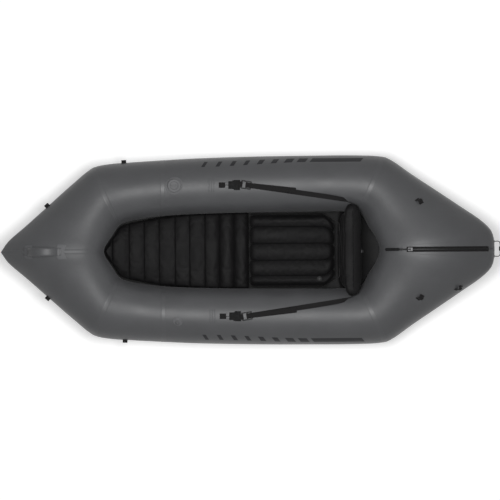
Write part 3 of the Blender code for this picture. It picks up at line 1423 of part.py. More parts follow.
def add_pull():
    """The pull: an eye round the slider's pin and a moulded tab that follows the deck's curve forward."""
    eye = ZIP_PIN_DIAMETER / 2 + RUNNING_GAP
    rim = eye + ZIP_PIN_DIAMETER * 0.45
    pivot = on_slider(0, 0, PULL_PIVOT_LIFT)
    half = PULL_THICKNESS * 1.5
    start = rim * 0.82
    tip_half = ZIP_PULL_DIAMETER / 2
    sides = PULL_SIDES
    points = [on_slider(a, level, PULL_PIVOT_LIFT + b) for level in (-half, half) for radius in (rim, eye)
              for a, b in circle(radius, sides)]
    faces = []
    for k in range(sides):
        n = (k + 1) % sides
        faces.append([k, n, sides + n, sides + k])
        faces.append([2 * sides + k, 2 * sides + n, 3 * sides + n, 3 * sides + k])
        faces.append([k, n, 2 * sides + n, 2 * sides + k])
        faces.append([sides + k, sides + n, 3 * sides + n, 3 * sides + k])
    pull = outward(add_solid("zip_pull", points, faces, BLACK_PLASTIC))
    rings = []
    for k in range(PULL_ROWS + 1):
        share = k / PULL_ROWS
        reach = start + (ZIP_PULL_LENGTH - start) * share
        swell = 0.55 + 0.45 * min(1.0, share * 5) if share < 0.9 else 1.0 - (share - 0.9) * 4
        angle = SLIDER_MIDDLE - reach / ZIP_RADIUS
        lift = PULL_PIVOT_LIFT - (PULL_PIVOT_LIFT - PULL_REST_LIFT) * min(1.0, max(0.0, share - 0.16) * 5)
        middle = on_zip(angle, 0, lift)
        normal = Vector((math.sin(angle), 0, math.cos(angle)))
        rings.append([middle + Vector((0, tip_half * a, 0)) + normal * (PULL_THICKNESS / 2 * b)
                      for a, b in circle(swell, PULL_TAB_SIDES)])
    tab = loft("pull_tab", rings, BLACK_PLASTIC)
    join_to(pull, tab, 0)
    set_origin(pull, pivot)


# Stern cord

# The cord's starboard half, from its grommet to the bead: shares of its reach aft, of the grommets'
# distance from the centreline, and of its droop.
CORD_SHARES = [(0.00, 1.000, 0.00), (0.19, 1.011, 0.02), (0.42, 1.019, 0.084), (0.63, 1.005, 0.211),
               (0.80, 0.951, 0.392), (0.91, 0.859, 0.596), (0.968, 0.708, 0.789), (0.993, 0.527, 0.932),
               (1.00, 0.319, 1.00), (1.00, 0.00, 1.00)]
BEAD_SIDES = 16


def add_stern_cord():
    """The stern's cord loop: two glued grommets, the cord between them and the bead on it."""
    beside = hull_point(STERN_END - 1, 0)
    end = hull_point(STERN_END, 0)
    point = Vector((end.x, 0, end.z)).lerp(beside, CORD_ANCHOR_Y / beside.y)
    normal = Vector((beside.y, end.x - beside.x, 0)).normalized()
    along = Vector((0, 0, 1)).cross(normal).normalized()
    radius = ANCHOR_DIAMETER / 2
    for side_name, side in SIDES:
        frame = tuple(side_of(v, side) for v in (point, along, normal.cross(along), normal))
        turned(f"cord_grommet_{side_name}", frame,
               [(radius, DRAPE_GAP), (radius, ANCHOR_HEIGHT * 0.6), (radius * 0.7, ANCHOR_HEIGHT),
                (radius * 0.3, ANCHOR_HEIGHT)], BLACK_PLASTIC, SMALL_SIDES)
    start = point + normal * (ANCHOR_HEIGHT + CORD_DIAMETER / 8 + GAP)
    half = [Vector((start.x + CORD_REACH * aft, start.y * across, start.z - CORD_DROOP * down))
            for aft, across, down in CORD_SHARES]
    path = half + [side_of(p, -1) for p in half[-2::-1]]
    curve = bpy.data.curves.new("stern_cord", "CURVE")
    curve.dimensions = "3D"
    curve.bevel_depth = CORD_DIAMETER / 2
    curve.bevel_resolution = 2
    curve.use_fill_caps = True
    curve.resolution_u = 1
    spline = curve.splines.new("POLY")
    spline.points.add(len(path) - 1)
    for knot_point, place in zip(spline.points, path):
        knot_point.co = (*place, 1.0)
    cord = bpy.data.objects.new("stern_cord", curve)
    bpy.context.scene.collection.objects.link(cord)
    curve.materials.append(make_material("stern_cord_webbing", *WEBBING[1:]))
    bead_frame = (half[-1], Vector((1, 0, 0)), Vector((0, 0, 1)), Vector((0, 1, 0)))
    hole = CORD_DIAMETER / 2 + 2 * GAP
    outside = BEAD_DIAMETER / 2
    end = BEAD_LENGTH / 2
    turned_shell("cord_bead", bead_frame, [(hole, -end), (outside * 0.7, -end), (outside, -end * 0.7),
                                           (outside, end * 0.7), (outside * 0.7, end), (hole, end)],
                 BLACK_PLASTIC, BEAD_SIDES)


def build():
    clear_scene()
    add_panels()
    add_seam_tapes()
    add_centre_tapes()
    add_floor()
    add_mat()
    add_seat()
    add_backrest()
    add_main_valve()
    add_oral_valve()
    add_cushion_valves()
    for side_name, side in SIDES:
        add_anchor(side_name, side)
        add_buckle(side_name, side)
        add_strap(side_name, side)
        add_lower_webbing(side_name, side)
    add_tie_loops()
    add_handle()
    add_zip()
    add_stern_cord()


build()
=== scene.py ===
# Inflatable packraft, dressed over its measured frame: bow at -X, stern at +X, starboard at +Y.

import math

import bmesh
import bpy
from bpy.props import FloatProperty, FloatVectorProperty, IntProperty, PointerProperty
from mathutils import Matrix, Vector, noise


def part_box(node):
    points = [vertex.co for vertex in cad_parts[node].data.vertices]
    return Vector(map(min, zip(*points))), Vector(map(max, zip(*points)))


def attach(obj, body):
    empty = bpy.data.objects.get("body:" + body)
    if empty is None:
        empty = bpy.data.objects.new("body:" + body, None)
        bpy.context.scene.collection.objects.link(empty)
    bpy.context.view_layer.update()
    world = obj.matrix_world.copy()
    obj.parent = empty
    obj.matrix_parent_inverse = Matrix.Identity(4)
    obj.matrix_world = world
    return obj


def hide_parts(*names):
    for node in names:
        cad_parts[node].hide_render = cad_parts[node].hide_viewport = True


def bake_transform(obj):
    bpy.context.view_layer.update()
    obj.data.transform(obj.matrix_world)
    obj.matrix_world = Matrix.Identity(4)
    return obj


bl_info = {
    "name": "Packraft",
    "version": (1, 0, 0),
    "blender": (4, 5, 0),
    "location": "3D View > Sidebar > Packraft",
    "description": "Fabric, cushions, webbing, fittings and stage for an inflatable packraft",
    "category": "Add Mesh",
}

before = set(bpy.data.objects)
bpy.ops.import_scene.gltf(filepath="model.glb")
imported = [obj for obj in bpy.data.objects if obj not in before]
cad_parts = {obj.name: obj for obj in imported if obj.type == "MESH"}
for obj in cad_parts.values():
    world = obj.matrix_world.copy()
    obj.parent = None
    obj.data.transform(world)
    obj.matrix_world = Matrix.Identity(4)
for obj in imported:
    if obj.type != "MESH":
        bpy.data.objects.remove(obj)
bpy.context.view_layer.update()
SIDES = [("starboard", 1), ("port", -1)]


# Small helpers

def blend_between(a, b, share):
    return a + (b - a) * share


def smoothstep(low, high, value):
    share = min(1.0, max(0.0, (value - low) / (high - low)))
    return share * share * (3 - 2 * share)


def narrowed(low, high, steps, too_low):
    """Halve a range again and again towards the place where the test turns false."""
    for _ in range(steps):
        middle = (low + high) / 2
        if too_low(middle):
            low = middle
        else:
            high = middle
    return low, high


def evenly(low, high, count):
    """Both ends of a range and the places between them at equal steps."""
    return [blend_between(low, high, k / count) for k in range(count + 1)]


def circle(sides):
    """Cosine and sine for each point of a round outline."""
    return [(math.cos(math.tau * j / sides), math.sin(math.tau * j / sides)) for j in range(sides)]


def powered(value, power):
    return math.copysign(abs(value) ** power, value)


def side_of(vector, side):
    """The same vector on the starboard side for 1 and mirrored to port for -1."""
    return Vector((vector.x, vector.y * side, vector.z))


# Hull form

HALF_LENGTH = 2.462 / 2
HALF_BEAM = 0.944 / 2
HALF_COCKPIT = 0.384 / 2
BOW_DECK = 0.513
STERN_DECK = 0.573
SIDE_TUBE_HEIGHT = 0.283
BOW_HEIGHT = 0.290
STERN_HEIGHT = 0.330
HULL_BASE = 0.0025
COCKPIT_FRONT = BOW_DECK - HALF_LENGTH
COCKPIT_BACK = HALF_LENGTH - STERN_DECK
COCKPIT_LENGTH = COCKPIT_BACK - COCKPIT_FRONT

# One row for each cross-section of the tube ring, bow to stern: its outer end as shares of half the
# length and half the beam, its inner end as shares of the cockpit's length and half width, the crest's
# share of the section, the height's share between side tube and end, and the flattened share.
STATION_SHARES = [
    (-1.0, 0.0, 0.0, 0.0, 0.39, 1.0, 1.0), (-0.97, 0.113, 0.005, 0.125, 0.395, 0.98, 0.97),
    (-0.893, 0.288, 0.016, 0.26, 0.41, 0.92, 0.86), (-0.8, 0.505, 0.028, 0.385, 0.44, 0.84, 0.6),
    (-0.706, 0.722, 0.04, 0.52, 0.47, 0.75, 0.3), (-0.63, 0.88, 0.057, 0.68, 0.495, 0.62, 0.08),
    (-0.568, 0.922, 0.088, 0.775, 0.5, 0.5, 0.0), (-0.47, 0.942, 0.145, 0.85, 0.5, 0.28, 0.0),
    (-0.344, 0.962, 0.215, 0.915, 0.5, 0.1, 0.0), (-0.2, 0.98, 0.342, 0.962, 0.5, 0.0, 0.0),
    (0.03, 0.995, 0.544, 0.992, 0.5, 0.0, 0.0), (0.26, 1.0, 0.73, 1.0, 0.5, 0.0, 0.0),
    (0.45, 0.999, 0.855, 1.0, 0.5, 0.0, 0.0), (0.555, 0.98, 0.925, 0.96, 0.5, 0.1, 0.0),
    (0.598, 0.925, 0.945, 0.82, 0.498, 0.22, 0.06), (0.665, 0.8, 0.958, 0.64, 0.49, 0.4, 0.2),
    (0.765, 0.625, 0.974, 0.46, 0.475, 0.62, 0.45), (0.87, 0.44, 0.986, 0.32, 0.458, 0.82, 0.72),
    (0.945, 0.305, 0.994, 0.19, 0.444, 0.94, 0.9), (0.987, 0.195, 0.998, 0.095, 0.436, 0.99, 0.98),
    (0.9985, 0.1, 0.9993, 0.071, 0.434, 1.0, 1.0), (1.0, 0.0, 1.0, 0.0, 0.434, 1.0, 1.0),
]
FORE_SEAM, MID_SEAM, STERN_SEAM = SEAMS = (5, 8, 13)
STERN_END = len(STATION_SHARES) - 1
MID_STATION = 10
BOW_FULLNESS_SHARE = 1.05
STERN_FULLNESS_SHARE = 1.12
# Where the underside starts to sweep up, where its crest is, and its height there, at each end
RISES = ((-0.33 * HALF_LENGTH, COCKPIT_FRONT - STATION_SHARES[0][4] * BOW_DECK, 0.095),
         (0.46 * HALF_LENGTH, COCKPIT_BACK + STATION_SHARES[-1][4] * STERN_DECK, 0.050))
NUDGE = 0.004
SCAN_STEPS = 200
HALVINGS = 40


def rise(x):
    """Height of the hull's underside above the ground: flat amidships, swept up to bow and stern."""
    for start, crest, lift in RISES:
        share = (x - start) / (crest - start)
        if share > 0:
            return lift * share ** 2
    return 0.0


def station(index, out_x, out_y, in_x, in_y, crest, height, flat):
    """Outer end, inner end, crest share, height and flatness of one cross-section."""
    outer = Vector((out_x * HALF_LENGTH, out_y * HALF_BEAM, 0))
    inner = Vector((COCKPIT_FRONT + in_x * COCKPIT_LENGTH, in_y * HALF_COCKPIT, 0))
    end_height = BOW_HEIGHT if index < MID_STATION else STERN_HEIGHT
    return outer, inner, crest, blend_between(SIDE_TUBE_HEIGHT, end_height, height), flat


STATIONS = [station(i, *row) for i, row in enumerate(STATION_SHARES)]
KNOTS = [0.0]
for before, after in zip(STATIONS, STATIONS[1:]):
    KNOTS.append(KNOTS[-1] + ((after[0] + after[1]) / 2 - (before[0] + before[1]) / 2).length)
# One more station past the stern's centreline, mirrored, so that the tube runs on smoothly
STATIONS.append((side_of(STATIONS[-2][0], -1), side_of(STATIONS[-2][1], -1), *STATIONS[-2][2:]))
KNOTS.append(2 * KNOTS[-1] - KNOTS[-2])


def cross_section(u):
    """The cross-section at a place along the tube, on a smooth curve through the stations."""
    index = min(int(u), STERN_END - 1)
    step = KNOTS[index + 1] - KNOTS[index]
    place = u - index
    squared = place * place
    cubed = squared * place
    result = []
    for part, (start, end) in enumerate(zip(STATIONS[index], STATIONS[index + 1])):
        if index > 0:
            start_slope = (end - STATIONS[index - 1][part]) / (KNOTS[index + 1] - KNOTS[index - 1])
        else:
            start_slope = (end - start) / step
        end_slope = (STATIONS[index + 2][part] - start) / (KNOTS[index + 2] - KNOTS[index])
        result.append(start * (2 * cubed - 3 * squared + 1) + end * (3 * squared - 2 * cubed)
                      + start_slope * step * (cubed - 2 * squared + place)
                      + end_slope * step * (cubed - squared))
    return result


def crest_radius(across, half_height, fullness):
    return fullness * (across * across + half_height * half_height) / (2 * half_height)


def flattened_quarter(across, half_height, radius, share):
    """A point on a quarter of a four-arc oval, from its end at share 0 to its crest at share 1."""
    end_radius = across * across + half_height * half_height - 2 * radius * half_height
    end_radius /= 2 * (across - radius)
    offset = across - end_radius
    turn = math.atan2(offset, radius - half_height)
    crest_part = turn * math.sqrt(radius)
    end_part = (math.pi / 2 - turn) * math.sqrt(end_radius)
    along = share * (crest_part + end_part)
    if along < end_part:
        angle = along / math.sqrt(end_radius)
        return offset + end_radius * math.cos(angle), end_radius * math.sin(angle)
    angle = (crest_part + end_part - along) / math.sqrt(radius)
    return radius * math.sin(angle), half_height - radius + radius * math.cos(angle)


def section_point(u, section, turn):
    """A point of a cross-section. A turn of 0 is its outer edge, 1 its crest, 2 its inner edge."""
    outer, inner, crest, tall, flat = section
    width = (outer - inner).length
    half_height = tall / 2
    crest_point = inner + (outer - inner) * crest
    below = turn % 4 > 2
    folded = 4 - turn % 4 if below else turn % 4
    across, share, side = (width * (1 - crest), folded, 1) if folded <= 1 else (width * crest, 2 - folded, -1)
    reach = across * math.cos(share * math.pi / 2)
    height = half_height * math.sin(share * math.pi / 2)
    if flat > 0:
        fullness = BOW_FULLNESS_SHARE if u < MID_STATION else STERN_FULLNESS_SHARE
        radius = crest_radius(width * (1 - crest), half_height, fullness)
        flat_reach, flat_height = flattened_quarter(across, half_height, radius, share)
        reach = blend_between(reach, flat_reach, flat)
        height = blend_between(height, flat_height, flat)
    point = crest_point + (outer - inner).normalized() * (side * reach)
    lift = rise(crest_point.x) + HULL_BASE + tall / 2
    point.z = lift - height if below else lift + height
    return point


def hull_point(u, turn):
    return section_point(u, cross_section(u), turn)


def section_centre(u, section):
    centre = (section[0] + section[1]) / 2
    centre.z = section_point(u, section, 0).z
    return centre


def hull_frame(u, turn):
    """Point, unit vectors along and around the tube, and the outward normal there."""
    section = cross_section(u)
    point = section_point(u, section, turn)
    back = hull_point(max(u - NUDGE, 0.0), turn)
    ahead = hull_point(min(u + NUDGE, STERN_END), turn)
    around = (section_point(u, section, turn + NUDGE) - section_point(u, section, turn - NUDGE)).normalized()
    normal = (ahead - back).normalized().cross(around).normalized()
    if normal.dot(point - section_centre(u, section)) < 0:
        normal = -normal
    around = (around - normal * around.dot(normal)).normalized()
    along = around.cross(normal).normalized()
    return point, along if along.dot(ahead - back) >= 0 else -along, around, normal


def locate(x, y):
    """Where on the starboard tube's upper surface a plan position lies."""
    target = Vector((x, y, 0))

    def beside(u):
        outer, inner = cross_section(u)[:2]
        span = outer - inner
        away = target - inner
        return span.x * away.y - span.y * away.x

    low = 0.0
    high = float(STERN_END)
    scan = evenly(0.0, STERN_END, SCAN_STEPS)
    for first, second in zip(scan, scan[1:]):
        if beside(first) * beside(second) <= 0:
            outer, inner = cross_section((first + second) / 2)[:2]
            share = (target - inner).dot(outer - inner) / (outer - inner).length_squared
            if -0.05 < share < 1.05:
                low = first
                high = second
                break
    rising = beside(high) > beside(low)
    u = sum(narrowed(low, high, HALVINGS, lambda middle: (beside(middle) > 0) != rising)) / 2
    section = cross_section(u)
    direction = (section[0] - section[1]).normalized()
    wanted = (target - section[1]).dot(direction)
    turn = sum(narrowed(0.0, 2.0, HALVINGS, lambda middle: (section_point(u, section, middle)
                                                            - section[1]).dot(direction) > wanted)) / 2
    return u, turn


def wrapped(u, turn, along, around, lift):
    """A point a distance along and around the tube from a place on it, raised off its surface."""
    reach_along = (hull_point(u + NUDGE, turn) - hull_point(u - NUDGE, turn)).length / (2 * NUDGE)
    reach_around = (hull_point(u, turn + NUDGE) - hull_point(u, turn - NUDGE)).length / (2 * NUDGE)
    point, _, _, normal = hull_frame(u + along / reach_along, turn + around / reach_around)
    return point + normal * lift


# Mesh helpers

def grid_faces(rows, columns, start=0, flip=False, wrap=False):
    """Faces over a grid of points. Both windings fold along the same diagonal."""
    faces = []
    for i in range(rows - 1):
        for j in range(columns if wrap else columns - 1):
            k = (j + 1) % columns
            quad = [start + i * columns + j, start + (i + 1) * columns + j,
                    start + (i + 1) * columns + k, start + i * columns + k]
            faces.append([quad[0], *quad[:0:-1]] if flip else quad)
    return faces


def slab_points(lower, upper):
    """Points and faces of a sheet between two matching grids, closed along its four edges."""
    rows = len(lower)
    columns = len(lower[0])
    top = rows * columns
    faces = grid_faces(rows, columns) + grid_faces(rows, columns, top, True)
    rim = [(0, j) for j in range(columns)] + [(i, columns - 1) for i in range(1, rows)]
    rim += [(rows - 1, j) for j in range(columns - 2, -1, -1)] + [(i, 0) for i in range(rows - 2, 0, -1)]
    for (i, j), (m, n) in zip(rim, rim[1:] + rim[:1]):
        a = i * columns + j
        b = m * columns + n
        faces.append([a, b, top + b, top + a])
    return [p for row in lower + upper for p in row], faces


def loft_points(rings):
    """Points and faces of a solid through closed rings, with a fan at each end."""
    columns = len(rings[0])
    points = [p for ring in rings for p in ring]
    faces = grid_faces(len(rings), columns, wrap=True)
    for row in (0, len(rings) - 1):
        points.append(sum(rings[row], Vector()) / columns)
        for j in range(columns):
            faces.append([row * columns + j, row * columns + (j + 1) % columns, len(points) - 1])
    return points, faces


def linked(name, data):
    """A new object of that name in the scene."""
    item = bpy.data.objects.new(name, data)
    bpy.context.scene.collection.objects.link(item)
    return item


def show_piece(name, data, material, body, node):
    """Put a piece in the scene, riding a body and standing for a node where they are given."""
    data.materials.append(material)
    piece = linked(name, data)
    if body:
        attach(piece, body)
    if node:
        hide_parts(node)
    return piece


def shade_softly(mesh, degrees):
    """Smooth shading, with sharp edges where faces meet at more than an angle."""
    mesh.shade_smooth()
    mesh.set_sharp_from_angle(angle=math.radians(degrees))


CREASE = 0.85
CREASE_DEGREES = 28.0
SOFT_EDGE_DEGREES = 50.0
SAME_PLACE = 0.00001


def make_piece(name, solid, material, sharp_degrees=SOFT_EDGE_DEGREES, body="hull", node=None, uv=None):
    """A visual piece from points and faces, with a place in metres on the surface for each point."""
    mesh = bpy.data.meshes.new(name)
    mesh.from_pydata([tuple(p) for p in solid[0]], [], solid[1])
    mesh.update()
    work = bmesh.new()
    work.from_mesh(mesh)
    bmesh.ops.recalc_face_normals(work, faces=work.faces)
    work.to_mesh(mesh)
    work.free()
    if uv:
        layer = mesh.uv_layers.new(name="surface")
        for loop in mesh.loops:
            layer.data[loop.index].uv = uv[loop.vertex_index]
    shade_softly(mesh, sharp_degrees)
    return show_piece(name, mesh, material, body, node)


def apply_modifier(piece, kind, **settings):
    """Change a piece's mesh for good by one modifier."""
    modifier = piece.modifiers.new("shape", kind)
    for key, value in settings.items():
        setattr(modifier, key, value)
    done = bpy.data.meshes.new_from_object(piece.evaluated_get(bpy.context.evaluated_depsgraph_get()))
    old = piece.data
    piece.modifiers.clear()
    piece.data = done
    bpy.data.meshes.remove(old)
    done.name = piece.name


def softened(name, node, material, body="hull"):
    """A smooth copy of a node's strip that stands for it: joined to quads, subdivided, its edges kept."""
    source = bpy.data.objects[node]
    work = bmesh.new()
    work.from_mesh(source.data)
    work.transform(source.matrix_world)
    bmesh.ops.remove_doubles(work, verts=work.verts, dist=SAME_PLACE)
    bmesh.ops.dissolve_limit(work, angle_limit=math.radians(0.6), verts=work.verts, edges=work.edges)
    bmesh.ops.triangulate(work, faces=[f for f in work.faces if len(f.verts) > 4])
    bmesh.ops.join_triangles(work, faces=[f for f in work.faces if len(f.verts) == 3],
                             angle_face_threshold=math.radians(40), angle_shape_threshold=math.radians(60))
    crease = work.edges.layers.float.new("crease_edge")
    for edge in work.edges:
        if len(edge.link_faces) == 2 and edge.calc_face_angle(0.0) > math.radians(CREASE_DEGREES):
            edge[crease] = CREASE
    mesh = bpy.data.meshes.new(name)
    work.to_mesh(mesh)
    work.free()
    piece = show_piece(name, mesh, material, body, node)
    cuts = bpy.context.scene.packraft_sizes.rounding
    apply_modifier(piece, "SUBSURF", levels=cuts, render_levels=cuts)
    shade_softly(piece.data, SOFT_EDGE_DEGREES)
    return piece


# Materials

def set_inputs(tree, node, inputs):
    """Give each named input its value, or join it to another node's output."""
    for name, value in inputs.items():
        if isinstance(value, bpy.types.NodeSocket):
            tree.links.new(value, node.inputs[name])
        else:
            node.inputs[name].default_value = value


def add_node(tree, kind, output, inputs, **settings):
    """A new node with its settings and inputs, as the output that is used."""
    node = tree.nodes.new("ShaderNode" + kind)
    for key, value in settings.items():
        setattr(node, key, value)
    set_inputs(tree, node, inputs)
    return node.outputs[output]


class Surface:
    """A node material under construction, with short ways to add and join its nodes."""

    def __init__(self, name, roughness, specular, sheen=(0.0, 0.5), metallic=0.0):
        self.material = bpy.data.materials.new(name)
        self.material.use_nodes = True
        self.tree = self.material.node_tree
        self.place = self.tree.nodes.new("ShaderNodeTexCoord").outputs
        self.shader = self.tree.nodes["Principled BSDF"]
        self.give({"Roughness": roughness, "Specular IOR Level": specular, "Metallic": metallic,
                   "Sheen Weight": sheen[0], "Sheen Roughness": sheen[1]})

    def give(self, inputs):
        set_inputs(self.tree, self.shader, inputs)

    def noise(self, scale, detail, roughness, stretch=None):
        vector = self.place["Object"]
        if stretch:
            vector = add_node(self.tree, "Mapping", "Vector", {"Vector": vector, "Scale": stretch})
        return add_node(self.tree, "TexNoise", "Fac", {"Vector": vector, "Scale": scale, "Detail": detail,
                                                       "Roughness": roughness})

    def bands(self, direction, pitch, place="Object"):
        return add_node(self.tree, "TexWave", "Fac", {"Vector": self.place[place],
                                                      "Scale": math.tau / 20 / pitch},
                        wave_type="BANDS", bands_direction=direction)

    def math(self, operation, first, second):
        return add_node(self.tree, "Math", "Value", {0: first, 1: second}, operation=operation)

    def weave(self, across, along, place="Object"):
        return self.math("MULTIPLY", self.bands("X", across, place), self.bands("Y", along, place))

    def spread(self, value, low, high, start=0.3, end=0.7):
        return add_node(self.tree, "MapRange", "Result", {"Value": value, "From Min": start, "From Max": end,
                                                          "To Min": low, "To Max": high})

    def paint(self, tone, colour, dark, light):
        """The colour, varied between two shares of itself by a tone from 0 to 1."""
        self.give({"Base Color": add_node(self.tree, "Mix", "Result", {
            "Factor": tone, "A": shade(colour, dark), "B": shade(colour, light)}, data_type="RGBA")})

    def bump(self, height, depth, strength=1.0):
        """Raise the surface by a height from 0 to 1, as deep as depth, on top of any bump so far."""
        inputs = {"Strength": strength, "Distance": depth, "Height": height}
        if self.shader.inputs["Normal"].is_linked:
            inputs["Normal"] = self.shader.inputs["Normal"].links[0].from_socket
        self.give({"Normal": add_node(self.tree, "Bump", "Normal", inputs)})


def shade(colour, share):
    return (*(min(1.0, c * share) for c in colour), 1.0)


def coated_fabric(name, colour, thread, depth=0.00005, roughness=0.46, place="UV", specular=0.34):
    """Laminated nylon: a fine plain weave under a satin coat, faintly uneven from panel to panel."""
    surface = Surface(name, roughness, specular, (0.03, 0.5))
    patches = surface.noise(7.0, 4.0, 0.55)
    grain = surface.noise(900.0, 2.0, 0.6)
    surface.paint(surface.math("ADD", surface.spread(patches, 0.0, 0.72), surface.spread(grain, 0.0, 0.28)),
                  colour, 0.90, 1.10)
    surface.give({"Roughness": surface.spread(patches, roughness - 0.04, roughness + 0.05)})
    surface.bump(surface.weave(thread, thread, place), depth)
    surface.bump(surface.noise(38.0, 3.0, 0.5), 0.0009, 0.6)
    return surface.material


def cushion_fabric(name, colour, roughness=0.56, thread=0.0009):
    """Uncoated pack cloth: a matt weave with a soft sheen and small puckers."""
    surface = Surface(name, roughness, 0.09, (0.02, 0.45))
    patches = surface.noise(9.0, 4.0, 0.55)
    specks = surface.noise(1500.0, 1.0, 0.5)
    surface.paint(surface.math("ADD", surface.spread(patches, 0.0, 0.6), surface.spread(specks, 0.0, 0.4)),
                  colour, 0.80, 1.22)
    surface.give({"Roughness": surface.spread(patches, roughness - 0.05, roughness + 0.06)})
    surface.bump(surface.weave(thread, thread), 0.00010)
    surface.bump(surface.noise(60.0, 3.0, 0.55), 0.0012, 0.7)
    return surface.material


def webbing_weave(name, colour, rib=0.0019):
    """Woven nylon webbing: cross ribs crossed by finer lengthwise threads, with painted shade between the
    ribs.
    """
    surface = Surface(name, 0.74, 0.12, (0.04, 0.6))
    ribs = surface.weave(rib, rib * 0.8)
    fuzz = surface.noise(1800.0, 2.0, 0.7)
    # The rib pattern also tints the colour, paler on the raised ribs and darker between them: the weave's own
    # pattern together with painted shade in its grooves
    surface.paint(surface.math("ADD", surface.spread(ribs, 0.0, 0.5, 0.0, 1.0),
                               surface.spread(fuzz, 0.0, 0.5)), colour, 0.62, 1.45)
    surface.bump(ribs, 0.00030)
    surface.bump(surface.bands("DIAGONAL", rib * 0.45), 0.00012)
    surface.bump(fuzz, 0.00006)
    return surface.material


def moulded_plastic(name, colour, roughness=0.50, specular=0.22):
    """Moulded acetal: a fine spark texture, with random patches rubbed a little smoother and paler."""
    surface = Surface(name, roughness, specular)
    wear = surface.noise(120.0, 4.0, 0.6)
    surface.paint(surface.spread(wear, 0.0, 1.0, 0.45, 0.75), colour, 1.0, 1.6)
    surface.give({"Roughness": surface.spread(wear, roughness + 0.05, roughness - 0.06)})
    surface.bump(surface.noise(2600.0, 2.0, 0.6), 0.00005)
    return surface.material


def soft_rubber(name, colour, roughness=0.55):
    """Moulded urethane: matt, with a dusty bloom in its mottling."""
    surface = Surface(name, roughness, 0.28)
    bloom = surface.noise(55.0, 5.0, 0.6)
    surface.paint(surface.spread(bloom, 0.0, 1.0), colour, 0.86, 1.12)
    surface.give({"Roughness": surface.spread(bloom, roughness - 0.05, roughness + 0.08)})
    surface.bump(surface.noise(1400.0, 2.0, 0.6), 0.00005)
    return surface.material


def cast_metal(name, colour, roughness):
    """Die-cast zinc: brushed along its length, with small scratches that vary its roughness."""
    surface = Surface(name, roughness, 0.5, metallic=1.0)
    brushed = surface.noise(60.0, 4.0, 0.65, (1.0, 30.0, 12.0))
    scratches = surface.noise(420.0, 2.0, 0.8, (0.4, 6.0, 1.0))
    surface.paint(surface.spread(brushed, 0.0, 1.0), colour, 0.80, 1.10)
    surface.give({"Roughness": surface.spread(scratches, roughness - 0.06, roughness + 0.14)})
    surface.bump(scratches, 0.00003)
    return surface.material


# Tube ring

PANEL_GAP = 0.0003
TAPE_GAP = 0.00045
TAPE_RISE = 0.0004
TAPE_UNDERSIDE = 0.0001
SEAM_TAPE_WIDTH = 0.024
SEAM_TAPE_THICKNESS = 0.0004
FLOOR_THICKNESS = 0.0012
FLOOR_LIFT = TAPE_GAP + SEAM_TAPE_THICKNESS + TAPE_GAP
PANELS = [("bow_panel", 0, FORE_SEAM), ("fore_panel", FORE_SEAM, MID_SEAM),
          ("side_panel", MID_SEAM, STERN_SEAM), ("stern_panel", STERN_SEAM, STERN_END)]
TUBE_SIDES = 96
PANEL_PITCH = 0.013
SKIN_EDGE_DEGREES = 80.0
FLOOR_PITCH = 0.022
# Gathers beside the welds: counts round the tube with their shares, reach, fade and depth
PUCKER_WAVES = ((11, 0.45), (19, 0.32), (31, 0.23))
PUCKER_REACH = 0.10
PUCKER_FADE = 0.028
PUCKER_DEPTH = 0.0015
# Tapes across their width: share of the half width, share of the full rise
SEAM_TAPE_ROWS = ((-1.0, 0.1), (-0.96, 0.7), (-0.6, 1.0), (-0.2, 1.0),
                  (0.2, 1.0), (0.6, 1.0), (0.96, 0.7), (1.0, 0.1))
CENTRE_TAPE_ROWS = ((-1.0, 0.1), (-0.94, 0.7), (-0.5, 1.0), (0.0, 1.0), (0.5, 1.0), (0.94, 0.7), (1.0, 0.1))
# Each centre tape: its end of the tube, the way inward, and its first and last turn in 24ths of a round
CENTRE_TAPES = (("bow_centre_tape", 0.0, 1, -4, 19), ("stern_centre_tape", float(STERN_END), -1, 9, 25))


def span_of(index):
    """Distance between a station and the next."""
    return KNOTS[index + 1] - KNOTS[index]


def run_to(u):
    """Distance along the tube from the bow's centreline."""
    index = min(int(u), STERN_END - 1)
    return KNOTS[index] + (u - index) * span_of(index)


def pucker(u, turn, side):
    """How far the fabric is drawn in: small gathers that die away from the welds across the tube."""
    depth = 0.0
    angle = turn * math.pi / 2
    for number, seam in enumerate(SEAMS):
        away = run_to(u) - run_to(seam)
        near = abs(away) - SEAM_TAPE_WIDTH / 2
        if near > PUCKER_REACH:
            continue
        waves = 0.0
        for order, (count, share) in enumerate(PUCKER_WAVES):
            phase = 1.7 * number + 2.3 * order + 0.9 * side
            waves += share * (0.5 + 0.5 * math.sin(count * angle + phase + away * 9 * (order + 1)))
        inner = smoothstep(-0.2, 0.8, -math.cos(angle))
        depth += math.exp(-max(near, 0.0) / PUCKER_FADE) * waves ** 2 * (0.35 + 1.15 * inner) * PUCKER_DEPTH
    return depth


def tube_row(u, side):
    """One ring of a panel's skin, drawn in by the gathers and kept off the centreline."""
    section = cross_section(u)
    centre = section_centre(u, section)
    row = []
    for j in range(TUBE_SIDES):
        turn = 4 * j / TUBE_SIDES
        point = section_point(u, section, turn)
        if 1 <= int(u) < STERN_END - 1:
            point += (centre - point).normalized() * pucker(u, turn, side)
        if u < 1 or u > STERN_END - 1:
            point.y = max(point.y, PANEL_GAP / 2)
        row.append(side_of(point, side))
    return row


def tube_places(start, end, pitch, fewest):
    """Places along the tube at about a pitch, one of them on each station."""
    places = []
    for index in range(int(start), math.ceil(end)):
        low = max(start, index)
        high = min(end, index + 1)
        places += evenly(low, high, max(fewest, round((high - low) * span_of(index) / pitch)))[:-1]
    return places + [end]


def surface_map(places):
    """Metres along and around the tube for each point of a grid, for the weave."""
    coordinates = []
    for u in places:
        section = cross_section(u)
        around = 0.0
        before = section_point(u, section, 0)
        for j in range(TUBE_SIDES):
            here = section_point(u, section, 4 * j / TUBE_SIDES)
            around += (here - before).length
            before = here
            coordinates.append((run_to(u), around))
    return coordinates


